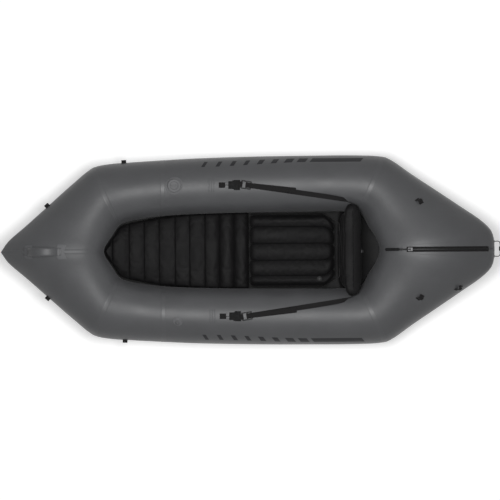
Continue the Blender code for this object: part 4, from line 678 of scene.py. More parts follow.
def add_tube_panels(material):
    """The eight panels of the tube ring, each a skin as thick as the fabric."""
    for label, first, last in PANELS:
        # The ends stop half a gap short of the seams
        start = first + PANEL_GAP / 2 / span_of(first) if first else 0.0
        end = last - PANEL_GAP / 2 / span_of(last - 1) if last < STERN_END else float(STERN_END)
        places = tube_places(start, end, PANEL_PITCH, 2)
        coordinates = surface_map(places)
        faces = grid_faces(len(places), TUBE_SIDES, wrap=True)
        for side_name, side in SIDES:
            points = [p for u in places for p in tube_row(u, side)]
            skin = make_piece(f"{label}_{side_name}_skin", (points, faces), material,
                              SKIN_EDGE_DEGREES, node=f"{label}_{side_name}", uv=coordinates)
            apply_modifier(skin, "SOLIDIFY", thickness=bpy.context.scene.packraft_sizes.fabric, offset=-1.0)


def add_seam_tapes(material):
    """Bands over the welds between the panels, their edges pressed down to the tube."""
    rows = len(SEAM_TAPE_ROWS)
    core = rows * TUBE_SIDES
    faces = grid_faces(rows, TUBE_SIDES, wrap=True) + grid_faces(rows, TUBE_SIDES, core, True, True)
    for first in (0, core - TUBE_SIDES):
        for j in range(TUBE_SIDES):
            a = first + j
            b = first + (j + 1) % TUBE_SIDES
            faces.append([b, a, core + a, core + b] if first else [a, b, core + b, core + a])
    for label, seam in zip(("fore_seam_tape", "mid_seam_tape", "stern_seam_tape"), SEAMS):
        places = []
        for share, _ in SEAM_TAPE_ROWS:
            away = share * SEAM_TAPE_WIDTH / 2
            places.append(seam + away / span_of(seam - 1 if away < 0 else seam))
        for side_name, side in SIDES:
            points = []
            for height in (TAPE_RISE, 0.0):
                for u, (_, lift) in zip(places, SEAM_TAPE_ROWS):
                    for j in range(TUBE_SIDES):
                        point, _, _, normal = hull_frame(u, 4 * j / TUBE_SIDES)
                        points.append(side_of(point + normal * (TAPE_UNDERSIDE + height * lift), side))
            make_piece(f"{label}_{side_name}_band", (points, faces), material,
                       node=f"{label}_{side_name}", uv=surface_map(places) * 2)


def centre_band(end, inward, first, last, height):
    """Rows across the centreline between two turns, each point on the true surface near it."""
    rows = []
    for j in range((last - first) * 4 + 1):
        turn = 4 * (first + j / 4) / 24
        row = []
        for share, lift in CENTRE_TAPE_ROWS:
            reach = abs(share) * SEAM_TAPE_WIDTH / 2
            away = narrowed(0.0, 1.0, 22, lambda middle: hull_point(end + inward * middle, turn).y < reach)[0]
            point, _, _, normal = hull_frame(end + inward * away, turn)
            if share == 0:
                point.y = 0
                normal = Vector((normal.x, 0, normal.z)).normalized()
            row.append(side_of(point + normal * (TAPE_UNDERSIDE + height * lift), 1 if share > 0 else -1))
        rows.append(row)
    return rows


def add_centre_tapes(material):
    """Bands over the welds on the centreline, at the bow and round the stern below the zip."""
    for name, *span in CENTRE_TAPES:
        lower = centre_band(*span, 0.0)
        uv = [(p.y, j * 0.006) for j, row in enumerate(lower) for p in row] * 2
        make_piece(name + "_band", slab_points(lower, centre_band(*span, TAPE_RISE)), material,
                   node=name, uv=uv)


# The floor's laps on the tubes run from a turn of 3 and a third down to 3, the tube's lowest line
FLOOR_LAPS = [3 + k / 24 for k in range(8, -1, -1)]
FLOOR_SPAN = 28
FLOOR_END_SHARE = 0.3


def add_floor_sheet(material):
    """The floor: flat under the cockpit and lapped up on the tubes' outer undersides."""
    layers = ([], [])
    for u in tube_places(FLOOR_END_SHARE, STERN_END - FLOOR_END_SHARE, FLOOR_PITCH, 1):
        for rows, lift in zip(layers, (FLOOR_LIFT + FLOOR_THICKNESS, FLOOR_LIFT)):
            row = []
            for turn in FLOOR_LAPS:
                point, _, _, normal = hull_frame(u, turn)
                row.append(point + (Vector((0, 0, -1)) if turn == 3 else normal) * lift)
            edge = row[-1]
            span = [Vector((edge.x, edge.y * (1 - 2 * k / FLOOR_SPAN), edge.z)) for k in range(1, FLOOR_SPAN)]
            rows.append(row + span + [side_of(p, -1) for p in row[::-1]])
    solid = slab_points(*layers)
    make_piece("hull_floor_sheet", solid, material, node="hull_floor",
               uv=[(p.x, p.y) for p in solid[0]])


# Slanted stripe dashes: where each starts and ends along the starboard tube, and the solid bar after them
STRIPE_DASHES = [(-0.2215, -0.2045), (-0.1505, -0.1310), (-0.0800, -0.0590), (-0.0125, 0.0085),
                 (0.0550, 0.0820), (0.1245, 0.1525), (0.1900, 0.2300), (0.2540, 0.2980), (0.3190, 0.5730)]
STRIPE_RUN = (-0.24, 0.32)
STRIPE_INNER = (0.418, 0.440)
STRIPE_OUTER = (0.443, 0.458)
STRIPE_EDGE = 0.009
STRIPE_SLANT = 0.016
STRIPE_THICKNESS = 0.0003
STRIPE_PITCH = 0.012


def stripe_grid(first, last):
    """Surface points and normals over one dash."""
    steps = max(2, round((last - first) / STRIPE_PITCH))
    grid = []
    for i in range(steps + 1):
        row = []
        for across in (0.0, 0.25, 0.5, 0.75, 1.0):
            x = first + (last - first) * i / steps + STRIPE_SLANT * (across - 0.5)
            share = smoothstep(*STRIPE_RUN, x)
            inner = blend_between(*STRIPE_INNER, share)
            limit = hull_point(locate(x, inner)[0], 0).y - STRIPE_EDGE
            outer = min(blend_between(*STRIPE_OUTER, share), limit)
            point, _, _, normal = hull_frame(*locate(x, blend_between(inner, outer, across)))
            row.append((point, normal))
        grid.append(row)
    return grid


def add_stripes(material):
    """Slanted welded dashes along the outer shoulders of both side tubes, one piece a side."""
    grids = [stripe_grid(*dash) for dash in STRIPE_DASHES]
    for side_name, side in SIDES:
        points = []
        faces = []
        for grid in grids:
            layers = [[[side_of(p + n * lift, side) for p, n in row] for row in grid]
                      for lift in (TAPE_UNDERSIDE, STRIPE_THICKNESS + TAPE_UNDERSIDE)]
            own_points, own_faces = slab_points(*layers)
            faces += [[k + len(points) for k in face] for face in own_faces]
            points += own_points
        make_piece(f"stripe_dashes_{side_name}", (points, faces), material,
                   uv=[(p.x, p.y) for p in points])


# Cushions

MAT_LENGTH = 0.722
MAT_THICKNESS = 0.046
MAT_TUCK = 0.004
MAT_FRONT_GAP = 0.012
MAT_SIDE_GAP = 0.0015
MAT_TIP = 0.004
MAT_WELD_DRAW = 0.012
MAT_GATHERS = 0.0012
MAT_WRINKLES = 0.0009
MAT_SWELLS = 0.0016
MAT_STEPS = 14
MAT_SIDES = 88
MAT_ROUNDING = (0.10, 0.50)
MAT_STEEP_DROPS = (0.15, 0.36)
MAT_WELDS = [-0.679, -0.594, -0.519, -0.444, -0.364, -0.291, -0.214, -0.141, -0.069]
MAT_DROPS = [0.50, 0.15, 0.13, 0.13, 0.13, 0.13, 0.13, 0.18, 0.36, 0.40, 0.46]
CUSHION_GAP = 0.0008
FLOOR_HALVINGS = 30
WELD_HALF = 0.0035
CLOTH_SETTINGS = {"quality": 6, "mass": 0.2, "tension_stiffness": 12, "compression_stiffness": 6,
                  "bending_stiffness": 0.15, "shrink_min": -0.012, "use_pressure": True,
                  "vertex_group_mass": "welds"}
SWELL_FRAMES = 20
SWELL_LIMIT = 0.003
PAD_EDGE_DEGREES = 75.0
SEAT_LENGTH = 0.430
SEAT_WIDTH = 0.360
SEAT_THICKNESS = 0.088
SEAT_FRONT = 0.0064
SEAT_BASE = FLOOR_THICKNESS + CUSHION_GAP
SEAT_MIDDLE = SEAT_BASE + SEAT_THICKNESS / 2
SEAT_ROWS = 84
SEAT_COLUMNS = 18
SEAT_GROOVE = 0.24
SEAT_WELD_SHARES = [0.0, 0.146, 0.361, 0.597, 0.833, 1.0]
SEAT_CORNER_IN = 0.045
SEAT_CORNER_RUN = 0.055
SEAT_FRONT_IN = 0.006
SEAT_FRONT_RUN = 0.03
SEAT_END_GAP = 0.0015
SEAT_SCALLOPS = 0.009
SEAT_GATHERS = 0.0018
SEAT_EDGE_HALF = 0.0006
SEAT_END_ROUND = 0.038
SEAT_SIDE_ROUND = 0.030
SEAT_EDGE_STEPS = 64
BACKREST_PIVOT = Vector((0.489, 0.0, 0.060))
BACKREST_LEAN = math.radians(9.0)
BACKREST_HEIGHT = 0.235
BACKREST_WIDTH = 0.460
BACKREST_THICKNESS = 0.086
BACKREST_BAFFLES = 4
BACKREST_STEPS = 14
BACKREST_SIDES = 96
BACKREST_GROOVE = 0.34
BACKREST_CLEARANCE = 0.0024
BACKREST_LIP_STEPS = 60
INNER_EDGE = [hull_point(u / 8, 2) for u in range(8 * STERN_END + 1)]


def cockpit_half_width(x):
    """Half the width between the tubes' inner edges at a place along the cockpit."""
    for before, after in zip(INNER_EDGE, INNER_EDGE[1:]):
        if before.x <= x <= after.x and before.x < after.x:
            return before.y + (after.y - before.y) * (x - before.x) / (after.x - before.x)
    return 0.0


def floor_top(x):
    """Height of the floor sheet's upper side at a place along the cockpit."""
    place = narrowed(0.0, float(STERN_END), FLOOR_HALVINGS, lambda u: hull_point(u, 3).x < x)[0]
    return hull_point(place, 3).z - FLOOR_LIFT


def bulge(share, drop, sharpness=2.2):
    """Height across one baffle: a rounded crown that falls steeply to its weld at share 0 and 1."""
    return 1 - drop * (1 - max(0.0, 1 - abs(2 * share - 1) ** sharpness) ** 0.55)


def ripple(x, y, seed, scale):
    """Smooth variation between -1 and 1 with place, the same each run."""
    return noise.noise(Vector((x * scale, y * scale, seed)))


def swollen(piece, welds):
    """Puff a cushion with cloth and air pressure while its welds hold, and keep the result."""
    scene = bpy.context.scene
    rest = [v.co.copy() for v in piece.data.vertices]
    group = piece.vertex_groups.new(name="welds")
    group.add([index for index, weld in enumerate(welds) if weld], 1.0, "REPLACE")
    cloth = piece.modifiers.new("air", "CLOTH")
    for key, value in CLOTH_SETTINGS.items():
        setattr(cloth.settings, key, value)
    cloth.settings.uniform_pressure_force = scene.packraft_sizes.pressure
    cloth.settings.effector_weights.gravity = 0.0
    cloth.collision_settings.use_collision = False
    cloth.point_cache.frame_start = 1
    cloth.point_cache.frame_end = SWELL_FRAMES
    for frame_number in range(1, SWELL_FRAMES + 1):
        scene.frame_set(frame_number)
    graph = bpy.context.evaluated_depsgraph_get()
    moved = [v.co.copy() for v in piece.evaluated_get(graph).data.vertices]
    piece.modifiers.clear()
    piece.vertex_groups.clear()
    for vertex, start, end in zip(piece.data.vertices, rest, moved):
        step = end - start
        if step.length > SWELL_LIMIT:
            step *= SWELL_LIMIT / step.length
        vertex.co = start + step
    scene.frame_set(1)


def add_mat(material):
    """The floor mat: cross baffles, nearly flat under the legs and fuller toward the seat."""
    front = COCKPIT_FRONT + PANEL_GAP
    welds_at = [front, *MAT_WELDS, front + MAT_LENGTH]
    rings = []
    welds = []
    for baffle, (begin, finish) in enumerate(zip(welds_at, welds_at[1:])):
        for step in range(MAT_STEPS + (baffle == len(MAT_WELDS))):
            within = 0.5 - 0.5 * math.cos(math.pi * step / MAT_STEPS)
            x = blend_between(begin, finish, within)
            # The two welds of a baffle differ in depth: shallow ones are narrow, deep ones wide
            drop = MAT_DROPS[baffle + (within >= 0.5)]
            crest = bulge(within, drop, 8.0 - 5.2 * smoothstep(*MAT_STEEP_DROPS, drop))
            rounder = 1 - smoothstep(*MAT_ROUNDING, x - front)
            half = cockpit_half_width(min(max(x, front + MAT_TIP), front + MAT_LENGTH)) + MAT_TUCK
            half -= (1 - crest) * MAT_WELD_DRAW + MAT_SIDE_GAP + MAT_FRONT_GAP * rounder
            base = floor_top(x) + CUSHION_GAP
            near_weld = min(within, 1 - within) * (finish - begin)
            ring = []
            for cosine, sine in circle(MAT_SIDES):
                up = powered(sine, 0.42 + 0.45 * rounder)
                y = half * powered(cosine, 0.62 + 0.25 * rounder)
                z = MAT_THICKNESS * crest * (0.5 + 0.5 * up)
                if up > 0:
                    gather = ripple(y * 9.0, baffle * 3.1, 4.0, 7.0) * math.exp(-near_weld / 0.011)
                    z += up * (MAT_GATHERS * gather + MAT_WRINKLES * ripple(x * 3, y * 3, 9.0 + baffle, 5.0)
                               + MAT_SWELLS * ripple(baffle * 7.7, y * 1.2, 2.0, 4.0))
                ring.append(Vector((x, y, base + max(z, 0.0))))
                welds.append(near_weld < WELD_HALF or up < -0.2)
            rings.append(ring)
    mat = make_piece("floor_mat_pad", loft_points(rings), material, PAD_EDGE_DEGREES,
                     node="floor_mat")
    swollen(mat, welds + [True, True])


def seat_half_width(along):
    """Half the seat's width at a share of its length: drawn in at the front, cut away at the aft corners."""
    from_back = (1 - along) * SEAT_LENGTH
    half = SEAT_WIDTH / 2 - SEAT_FRONT_IN * max(0.0, 1 - along * SEAT_LENGTH / SEAT_FRONT_RUN) ** 2
    return half - SEAT_CORNER_IN * max(0.0, 1 - from_back / SEAT_CORNER_RUN) ** 1.3


def add_seat(material):
    """The seat: five air tubes side by side, gathered at both ends, with a welded edge all round."""
    columns = []
    for tube, (begin, finish) in enumerate(zip(SEAT_WELD_SHARES, SEAT_WELD_SHARES[1:])):
        for k in range(SEAT_COLUMNS):
            within = 0.5 - 0.5 * math.cos(math.pi * k / SEAT_COLUMNS)
            columns.append((blend_between(begin, finish, within), within, (finish - begin) * SEAT_WIDTH,
                            max(0, tube - (k == 0))))
    columns.append((1.0, 0.0, SEAT_WIDTH, tube))
    upper = []
    lower = []
    welds = []
    for i in range(SEAT_ROWS + 1):
        along = 0.5 - 0.5 * math.cos(math.pi * i / SEAT_ROWS)
        from_end = min(along, 1 - along) * SEAT_LENGTH
        swell = (1 - max(0.0, 1 - from_end / SEAT_END_ROUND) ** 2.3) ** (1 / 2.3)
        half = seat_half_width(along)
        top_row = []
        low_row = []
        for share, within, wide, tube in columns:
            y = half * (2 * share - 1)
            groove = 1 - bulge(within, 1.0)
            x = SEAT_FRONT + SEAT_END_GAP + (SEAT_LENGTH - 2 * SEAT_END_GAP) * along
            x += (0.5 - along) * 2 * SEAT_SCALLOPS * groove * math.exp(-from_end / 0.012)
            crest = 1 - (SEAT_GROOVE + 0.22 * math.exp(-from_end / 0.030)) * groove
            edge = min(share, 1 - share) * SEAT_WIDTH
            side_drop = (1 - max(0.0, 1 - edge / SEAT_SIDE_ROUND) ** 2.2) ** (1 / 2.2)
            gather = ripple(y * 6.0, 0 if along < 0.5 else 5.0, 3.0, 9.0) * math.exp(-from_end / 0.022)
            gather += 0.6 * ripple(x * 6.0, tube * 2.7, 6.0, 9.0) * math.exp(-min(within, 1 - within) * 5)
            height = SEAT_THICKNESS / 2 * swell * crest * side_drop + SEAT_GATHERS * gather * swell
            depth = min(height * 1.02, SEAT_THICKNESS / 2)
            top_row.append(Vector((x, y, SEAT_MIDDLE + max(height, SEAT_EDGE_HALF))))
            low_row.append(Vector((x, y, SEAT_MIDDLE - max(depth, SEAT_EDGE_HALF))))
            welds.append(min(within, 1 - within) * wide < 0.003 or min(from_end, edge) < 0.001)
        upper.append(top_row)
        lower.append(low_row)
    seat = make_piece("seat_cushion_pad", slab_points(lower, upper), material,
                      PAD_EDGE_DEGREES, node="seat_cushion")
    swollen(seat, [True] * len(welds) + welds)
    add_seat_edge(material)


def add_seat_edge(material):
    """The flat weld that runs round the seat at half its height."""
    outline = []
    for side in (1, -1):
        for k in range(SEAT_EDGE_STEPS + 1):
            along = k / SEAT_EDGE_STEPS if side == 1 else 1 - k / SEAT_EDGE_STEPS
            outline.append(Vector((SEAT_FRONT + 0.001 + (SEAT_LENGTH - 0.002) * along,
                                   side * (seat_half_width(along) + 0.001), 0)))
    centre = Vector((SEAT_FRONT + SEAT_LENGTH / 2, 0, 0))
    points = []
    for inset, lift in ((0.012, -0.0007), (0.0, -0.0006), (0.0, 0.0006), (0.012, 0.0007)):
        for place in outline:
            wave = 0.0010 * ripple(place.x * 20, place.y * 20, 1.0, 2.0)
            height = Vector((0, 0, SEAT_MIDDLE + lift + wave))
            points.append(place + (centre - place).normalized() * inset + height)
    count = len(outline)
    last = 3 * count
    faces = grid_faces(4, count, wrap=True)
    for j in range(count):
        k = (j + 1) % count
        faces.append([last + j, j, k, last + k])
    make_piece("seat_weld_edge", (points, faces), material, node="seat_cushion")


def tube_inner_edge(x, z):
    """Half the free width between the side tubes at a place along the cockpit and a height."""
    outer, inner, crest, tall, _ = STATIONS[STERN_SEAM - 1]
    middle = HULL_BASE + tall / 2
    if z > middle + tall / 2:
        return HALF_BEAM
    level = min(abs(z - middle) / (tall / 2), 1.0)
    return cockpit_half_width(x) + (outer.y - inner.y) * crest * (1 - math.sqrt(1 - level * level))


def backrest_place(height, deep, tilt=BACKREST_LEAN, across=0.0):
    """A point up the backrest from its foot, behind its middle plane and across it."""
    return BACKREST_PIVOT + Vector((deep * math.cos(tilt) + height * math.sin(tilt), across,
                                    height * math.cos(tilt) - deep * math.sin(tilt)))


def backrest_half_width(height):
    """Half the backrest's width at a height on it, squeezed by the tubes through all of its tilt."""
    over = max(0.0, height / BACKREST_HEIGHT - 0.84) / 0.16
    half = BACKREST_WIDTH / 2 * (0.90 + 0.10 * math.sqrt(max(0.0, 1 - over * over)))
    for turned_by in (-15.0, 0.0, 6.0):
        for across, deep in ((1.0, 0.0), (0.9, 0.62), (0.9, -0.62), (0.75, 0.9), (0.75, -0.9)):
            place = backrest_place(height, deep * BACKREST_THICKNESS / 2,
                                   BACKREST_LEAN + math.radians(turned_by))
            half = min(half, (tube_inner_edge(place.x, place.z) - BACKREST_CLEARANCE) / across)
    return half


def add_backrest(material):
    """The backrest: four level baffles squeezed between the tubes, with a welded lip along its top."""
    total = BACKREST_BAFFLES * BACKREST_STEPS
    rings = []
    welds = []
    for step in range(total + 1):
        height = BACKREST_HEIGHT * step / total
        within = (step % BACKREST_STEPS) / BACKREST_STEPS
        baffle = min(step // BACKREST_STEPS, BACKREST_BAFFLES - 1)
        crest = {0: 0.36, total: 0.10}.get(step, bulge(within, BACKREST_GROOVE))
        near_weld = min(within, 1 - within) * BACKREST_HEIGHT / BACKREST_BAFFLES
        half = backrest_half_width(height) * (1 - 0.022 * math.exp(-near_weld / 0.006))
        ring = []
        for cosine, sine in circle(BACKREST_SIDES):
            across = powered(cosine, 0.42)
            y = across * half
            thick = BACKREST_THICKNESS / 2 * crest
            thick += 0.0016 * ripple(y * 7.0, baffle * 2.9, 5.0, 8.0) * math.exp(-near_weld / 0.010)
            thick += 0.0012 * ripple(y * 2.0, height * 4.0, 8.0, 6.0)
            ring.append(backrest_place(height, powered(sine, 0.72) * max(thick, 0.002), across=y))
            welds.append(near_weld < WELD_HALF or abs(across) > 0.985)
        rings.append(ring)
    pad = make_piece("backrest_pad", loft_points(rings), material, PAD_EDGE_DEGREES,
                     "backrest_cushion", "backrest")
    swollen(pad, welds + [True, True])
    add_backrest_lip(material)


def add_backrest_lip(material):
    """The flat weld that stands along the backrest's top edge."""
    reach = backrest_half_width(BACKREST_HEIGHT) - 0.016
    thickness = backrest_place(0, 0.0007) - BACKREST_PIVOT
    layers = ([], [])
    for height, deep in ((-0.006, 0.0), (0.0, -0.0002), (0.006, -0.0016), (0.0095, -0.0042)):
        row = []
        for k in range(BACKREST_LIP_STEPS + 1):
            across = 2 * k / BACKREST_LIP_STEPS - 1
            droop = 0.006 * max(0.0, abs(across) - 0.86) / 0.14
            wave = 0.0012 * ripple(across * 8, 0.0, 7.0, 2.0)
            row.append(backrest_place(BACKREST_HEIGHT + height - droop, deep + wave, across=across * reach))
        layers[0].append([p - thickness for p in row])
        layers[1].append([p + thickness for p in row])
    make_piece("backrest_weld_edge", slab_points(*layers), material,
               body="backrest_cushion", node="backrest")


# Webbing, patches and handle

STRAP_SPLIT_X = 0.210
FITTING_EDGE_DEGREES = 40.0
PLATE_SPAN = (-0.195, 0.036)
PLATE_HALF_WIDTH = 0.040
PLATE_BOTTOM = 0.0005
PLATE_TOP = 0.0010
PLATE_WELDS = (-0.190, -0.178, -0.166)
PLATE_WELD_RISE = 0.0009
PLATE_CORNER = 0.008
ANCHOR_LINE = 0.3265
TAIL_SPAN = (-0.142, -0.0765)
TAIL_HALF_WIDTH = 0.0135
TAIL_BOTTOM = 0.0013
TAIL_TOP = 0.0029
BAND_SPAN = (-0.110, -0.0945)
# Moulded keeper, fore to aft: place, half width with its wings, thickness
KEEPER_ROWS = ((-0.0940, 0.019, 0.0010), (-0.0928, 0.019, 0.0019), (-0.0900, 0.019, 0.0020),
               (-0.0885, 0.019, 0.0013), (-0.0720, 0.019, 0.0013), (-0.0690, 0.020, 0.0013),
               (-0.0650, 0.025, 0.0013), (-0.0625, 0.025, 0.0013), (-0.0610, 0.025, 0.0020),
               (-0.0580, 0.025, 0.0020), (-0.0565, 0.025, 0.0013), (-0.0410, 0.025, 0.0013),
               (-0.0395, 0.025, 0.0020), (-0.0372, 0.025, 0.0019), (-0.0360, 0.025, 0.0010))


def cut_at(piece, x, keep_front):
    """Keep one side of a piece at a plane across the hull, and close the cut."""
    work = bmesh.new()
    work.from_mesh(piece.data)
    bmesh.ops.bisect_plane(work, geom=work.verts[:] + work.edges[:] + work.faces[:], plane_co=(x, 0, 0),
                           plane_no=(1, 0, 0), clear_outer=keep_front, clear_inner=not keep_front)
    bmesh.ops.holes_fill(work, edges=[edge for edge in work.edges if edge.is_boundary])
    work.to_mesh(piece.data)
    work.free()


def add_straps(material):
    """The lower straps and the upper ones, parted where the doubled front half meets the single run aft."""
    for side_name, side in SIDES:
        strap = f"backrest_strap_{side_name}"
        aft = ("hull", "backrest_cushion")
        for name, node, bodies, start, end, height in (
                ("strap_front", strap, (f"lock_{side_name}", "hull"), (0.030, 0.31), (0.190, 0.31), 0.29),
                ("strap_aft", strap, aft, (0.400, 0.26), (0.512, 0.245), 0.27),
                ("lower_strap", f"lower_webbing_{side_name}", aft, (0.372, 0.17), (0.440, 0.14), 0.15)):
            piece = softened(f"{name}_{side_name}", node, material, None)
            if node == strap:
                cut_at(piece, STRAP_SPLIT_X, name == "strap_front")
            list(bodies)
            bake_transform(piece)


def anchor_slab(name, rows, material, side, node=None):
    """A fitting by the strap's line, from rows of (across, underside, top) at places along the tube."""
    layers = ([], [])
    for x, row in rows:
        place = locate(x, ANCHOR_LINE)
        for layer, lift in zip(layers, (1, 2)):
            layer.append([side_of(wrapped(*place, 0.0, item[0], item[lift]), side) for item in row])
    make_piece(name, slab_points(*layers), material, FITTING_EDGE_DEGREES, node=node)


def arched(half, thickness, wing):
    """Profile of a band over the webbing: (across, underside, top), with a wing at each side."""
    low = TAIL_BOTTOM
    high = TAIL_TOP + 0.0002
    right = [(half - thickness * 1.1, high, high + thickness),
             (half - 0.0004, high - 0.0001, high + thickness * 0.92),
             (half, low, low + thickness * 1.1), (wing, low, low + thickness * 0.75)]
    return [(-across, under, top) for across, under, top in reversed(right)] + right


def plate_rows():
    """The long welded plate: round corners and three raised weld lines across its front."""
    places = evenly(*PLATE_SPAN, 22)
    places += [at + offset for at in PLATE_WELDS for offset in (-0.0015, -0.0005, 0.0005, 0.0015)]
    for x in sorted(places):
        on_weld = min(abs(x - at) for at in PLATE_WELDS) < 0.001
        end = min(x - PLATE_SPAN[0], PLATE_SPAN[1] - x)
        draw = PLATE_CORNER * (1 - math.sqrt(max(0.0, 1 - (1 - min(end / PLATE_CORNER, 1.0)) ** 2)))
        ridge = PLATE_WELD_RISE if on_weld else 0.0
        yield x, [(share * (PLATE_HALF_WIDTH - draw), PLATE_BOTTOM, PLATE_TOP + ridge * (abs(share) < 0.8))
                  for share in evenly(-1, 1, 16)]


def add_anchors(webbing, fabric, plastic):
    """The welded plates before the buckles, the webbing on them, its fabric band and moulded keeper."""
    tail = [(share * TAIL_HALF_WIDTH, TAIL_BOTTOM, TAIL_TOP - 0.0003 * abs(share) ** 6)
            for share in (-1, -0.93, -0.5, 0, 0.5, 0.93, 1)]
    band = arched(0.0146, PLATE_TOP - PLATE_BOTTOM, 0.023)
    for side_name, side in SIDES:
        node = f"anchor_webbing_{side_name}"
        anchor_slab(f"anchor_plate_{side_name}", plate_rows(), fabric, side,
                    f"strap_patch_{side_name}")
        softened(f"anchor_strap_{side_name}", node, webbing)
        anchor_slab(f"anchor_tail_{side_name}", [(x, tail) for x in evenly(*TAIL_SPAN, 10)],
                    webbing, side, node)
        anchor_slab(f"anchor_band_{side_name}", [(x, band) for x in evenly(*BAND_SPAN, 4)],
                    fabric, side)
        anchor_slab(f"anchor_keeper_{side_name}", [(x, arched(0.0160, thickness, half))
                                                   for x, half, thickness in KEEPER_ROWS],
                    plastic, side, f"anchor_bridge_{side_name}")


def add_locks(material):
    """The ladder locks, their moulded corners softened."""
    for side_name, _ in SIDES:
        node = f"ladder_lock_{side_name}"
        softened(node + "_moulded", node, material, f"lock_{side_name}")


def add_tie_loops(material):
    """The webbing loops on the tubes."""
    nodes = [f"{label}_tie_loop_{side_name}" for label in ("bow", "fore", "stern") for side_name, _ in SIDES]
    for node in nodes + ["edge_tie_loop_port"]:
        softened(node + "_webbing", node, material)


def add_handle(padding, patches):
    """The padded bow handle and its two welded patches."""
    softened("handle_pad", "grab_handle", padding)
    for end in ("aft", "front"):
        softened(f"handle_plate_{end}", f"handle_patch_{end}", patches)


# Valves

DRAPE_GAP = 0.0005
PATCH_THICKNESS = 0.0005
RUNNING_GAP = 0.0004
WEB_GAP = 0.0003
SKIRT_SIDES = 72
VALVE_PLACE = (-0.364, 0.325)
VALVE_FLANGE = 0.088
VALVE_NECK = 0.0552
VALVE_NECK_HEIGHT = 0.0110
VALVE_CAP = 0.066
VALVE_CAP_HEIGHT = 0.0090
VALVE_GRIP_HALF = 0.0042
ORAL_PLACE = (-0.351, 0.351)
ORAL_BASE = 0.046
ORAL_STEM = 0.016
ORAL_STEM_HEIGHT = 0.0120
ORAL_TIP = 0.022
ORAL_TIP_HEIGHT = 0.0140
SMALL_BASE = 0.026
SMALL_STEM = 0.010
SMALL_STEM_HEIGHT = 0.0050
SMALL_CAP = 0.016
SMALL_CAP_HEIGHT = 0.0070
BACKREST_VALVE_Y = -0.008


def add_valve_skirt(name, node, u, turn, side, flange, neck, neck_height, material):
    """A valve's soft flange, laid to the tube, with moulded rings round the neck at its middle."""
    top = DRAPE_GAP + 3 * PATCH_THICKNESS
    layers = [(0.14, DRAPE_GAP), (0.45, DRAPE_GAP), (0.75, DRAPE_GAP), (0.995, DRAPE_GAP),
              (1.0, DRAPE_GAP + 0.0003), (0.995, DRAPE_GAP + 0.0006), (0.955, DRAPE_GAP + 0.0009),
              (0.925, DRAPE_GAP + 0.0008), (0.90, top), (0.875, top), (0.86, top - 0.0004),
              (0.80, top - 0.0004), (0.785, top), (0.765, top)]
    rings = []
    for share, lift in layers:
        reach = flange / 2 * share
        if reach >= neck / 2 or share <= 0.5:
            rings.append([side_of(wrapped(u, turn, reach * cosine, reach * sine, lift), side)
                          for cosine, sine in circle(SKIRT_SIDES)])
    point, along, around, normal = hull_frame(u, turn)
    edge = min(0.0008, neck / 12)
    for radius, height in ((neck / 2 + edge, neck_height * 0.15), (neck / 2, neck_height * 0.15 + edge),
                           (neck / 2, neck_height - edge), (neck / 2 - edge * 0.3, neck_height - edge * 0.3),
                           (neck / 2 - edge, neck_height), (neck * 0.25, neck_height)):
        rings.append([side_of(point + normal * height + (along * cosine + around * sine) * radius, side)
                      for cosine, sine in circle(SKIRT_SIDES)])
    make_piece(name, loft_points(rings), material, FITTING_EDGE_DEGREES, node=node)


def rounded_profile(corners, radius, steps=4):
    """Round the corners of an open profile of (radius, height) pairs."""
    result = [corners[0]]
    for before, corner, after in zip(corners, corners[1:], corners[2:]):
        here = Vector(corner)
        back = Vector(before) - here
        ahead = Vector(after) - here
        cut = min(radius, back.length * 0.45, ahead.length * 0.45)
        first = here + back.normalized() * cut
        last = here + ahead.normalized() * cut
        for k in range(steps + 1):
            share = k / steps
            result.append(tuple(first.lerp(here, share).lerp(here.lerp(last, share), share)))
    return result + [corners[-1]]


def add_turned(name, node, place, corners, radius, sides, body, material, ribs=0, depth=0.0,
               band=(1, 0)):
    """A round moulding with softened corners and, where asked, grip ribs between two heights."""
    point, along, around, normal = place
    widest = max(reach for reach, _ in corners)
    rings = []
    for reach, height in rounded_profile(corners, radius):
        ribbed = band[0] <= height <= band[1] and reach > 0.8 * widest
        ring = []
        for j, (cosine, sine) in enumerate(circle(sides)):
            groove = (0.5 - 0.5 * math.cos(ribs * math.tau * j / sides)) ** 2 if ribbed else 0.0
            ring.append(point + normal * height + (along * cosine + around * sine) * (reach - depth * groove))
        rings.append(ring)
    make_piece(name, loft_points(rings), material, FITTING_EDGE_DEGREES, body, node)


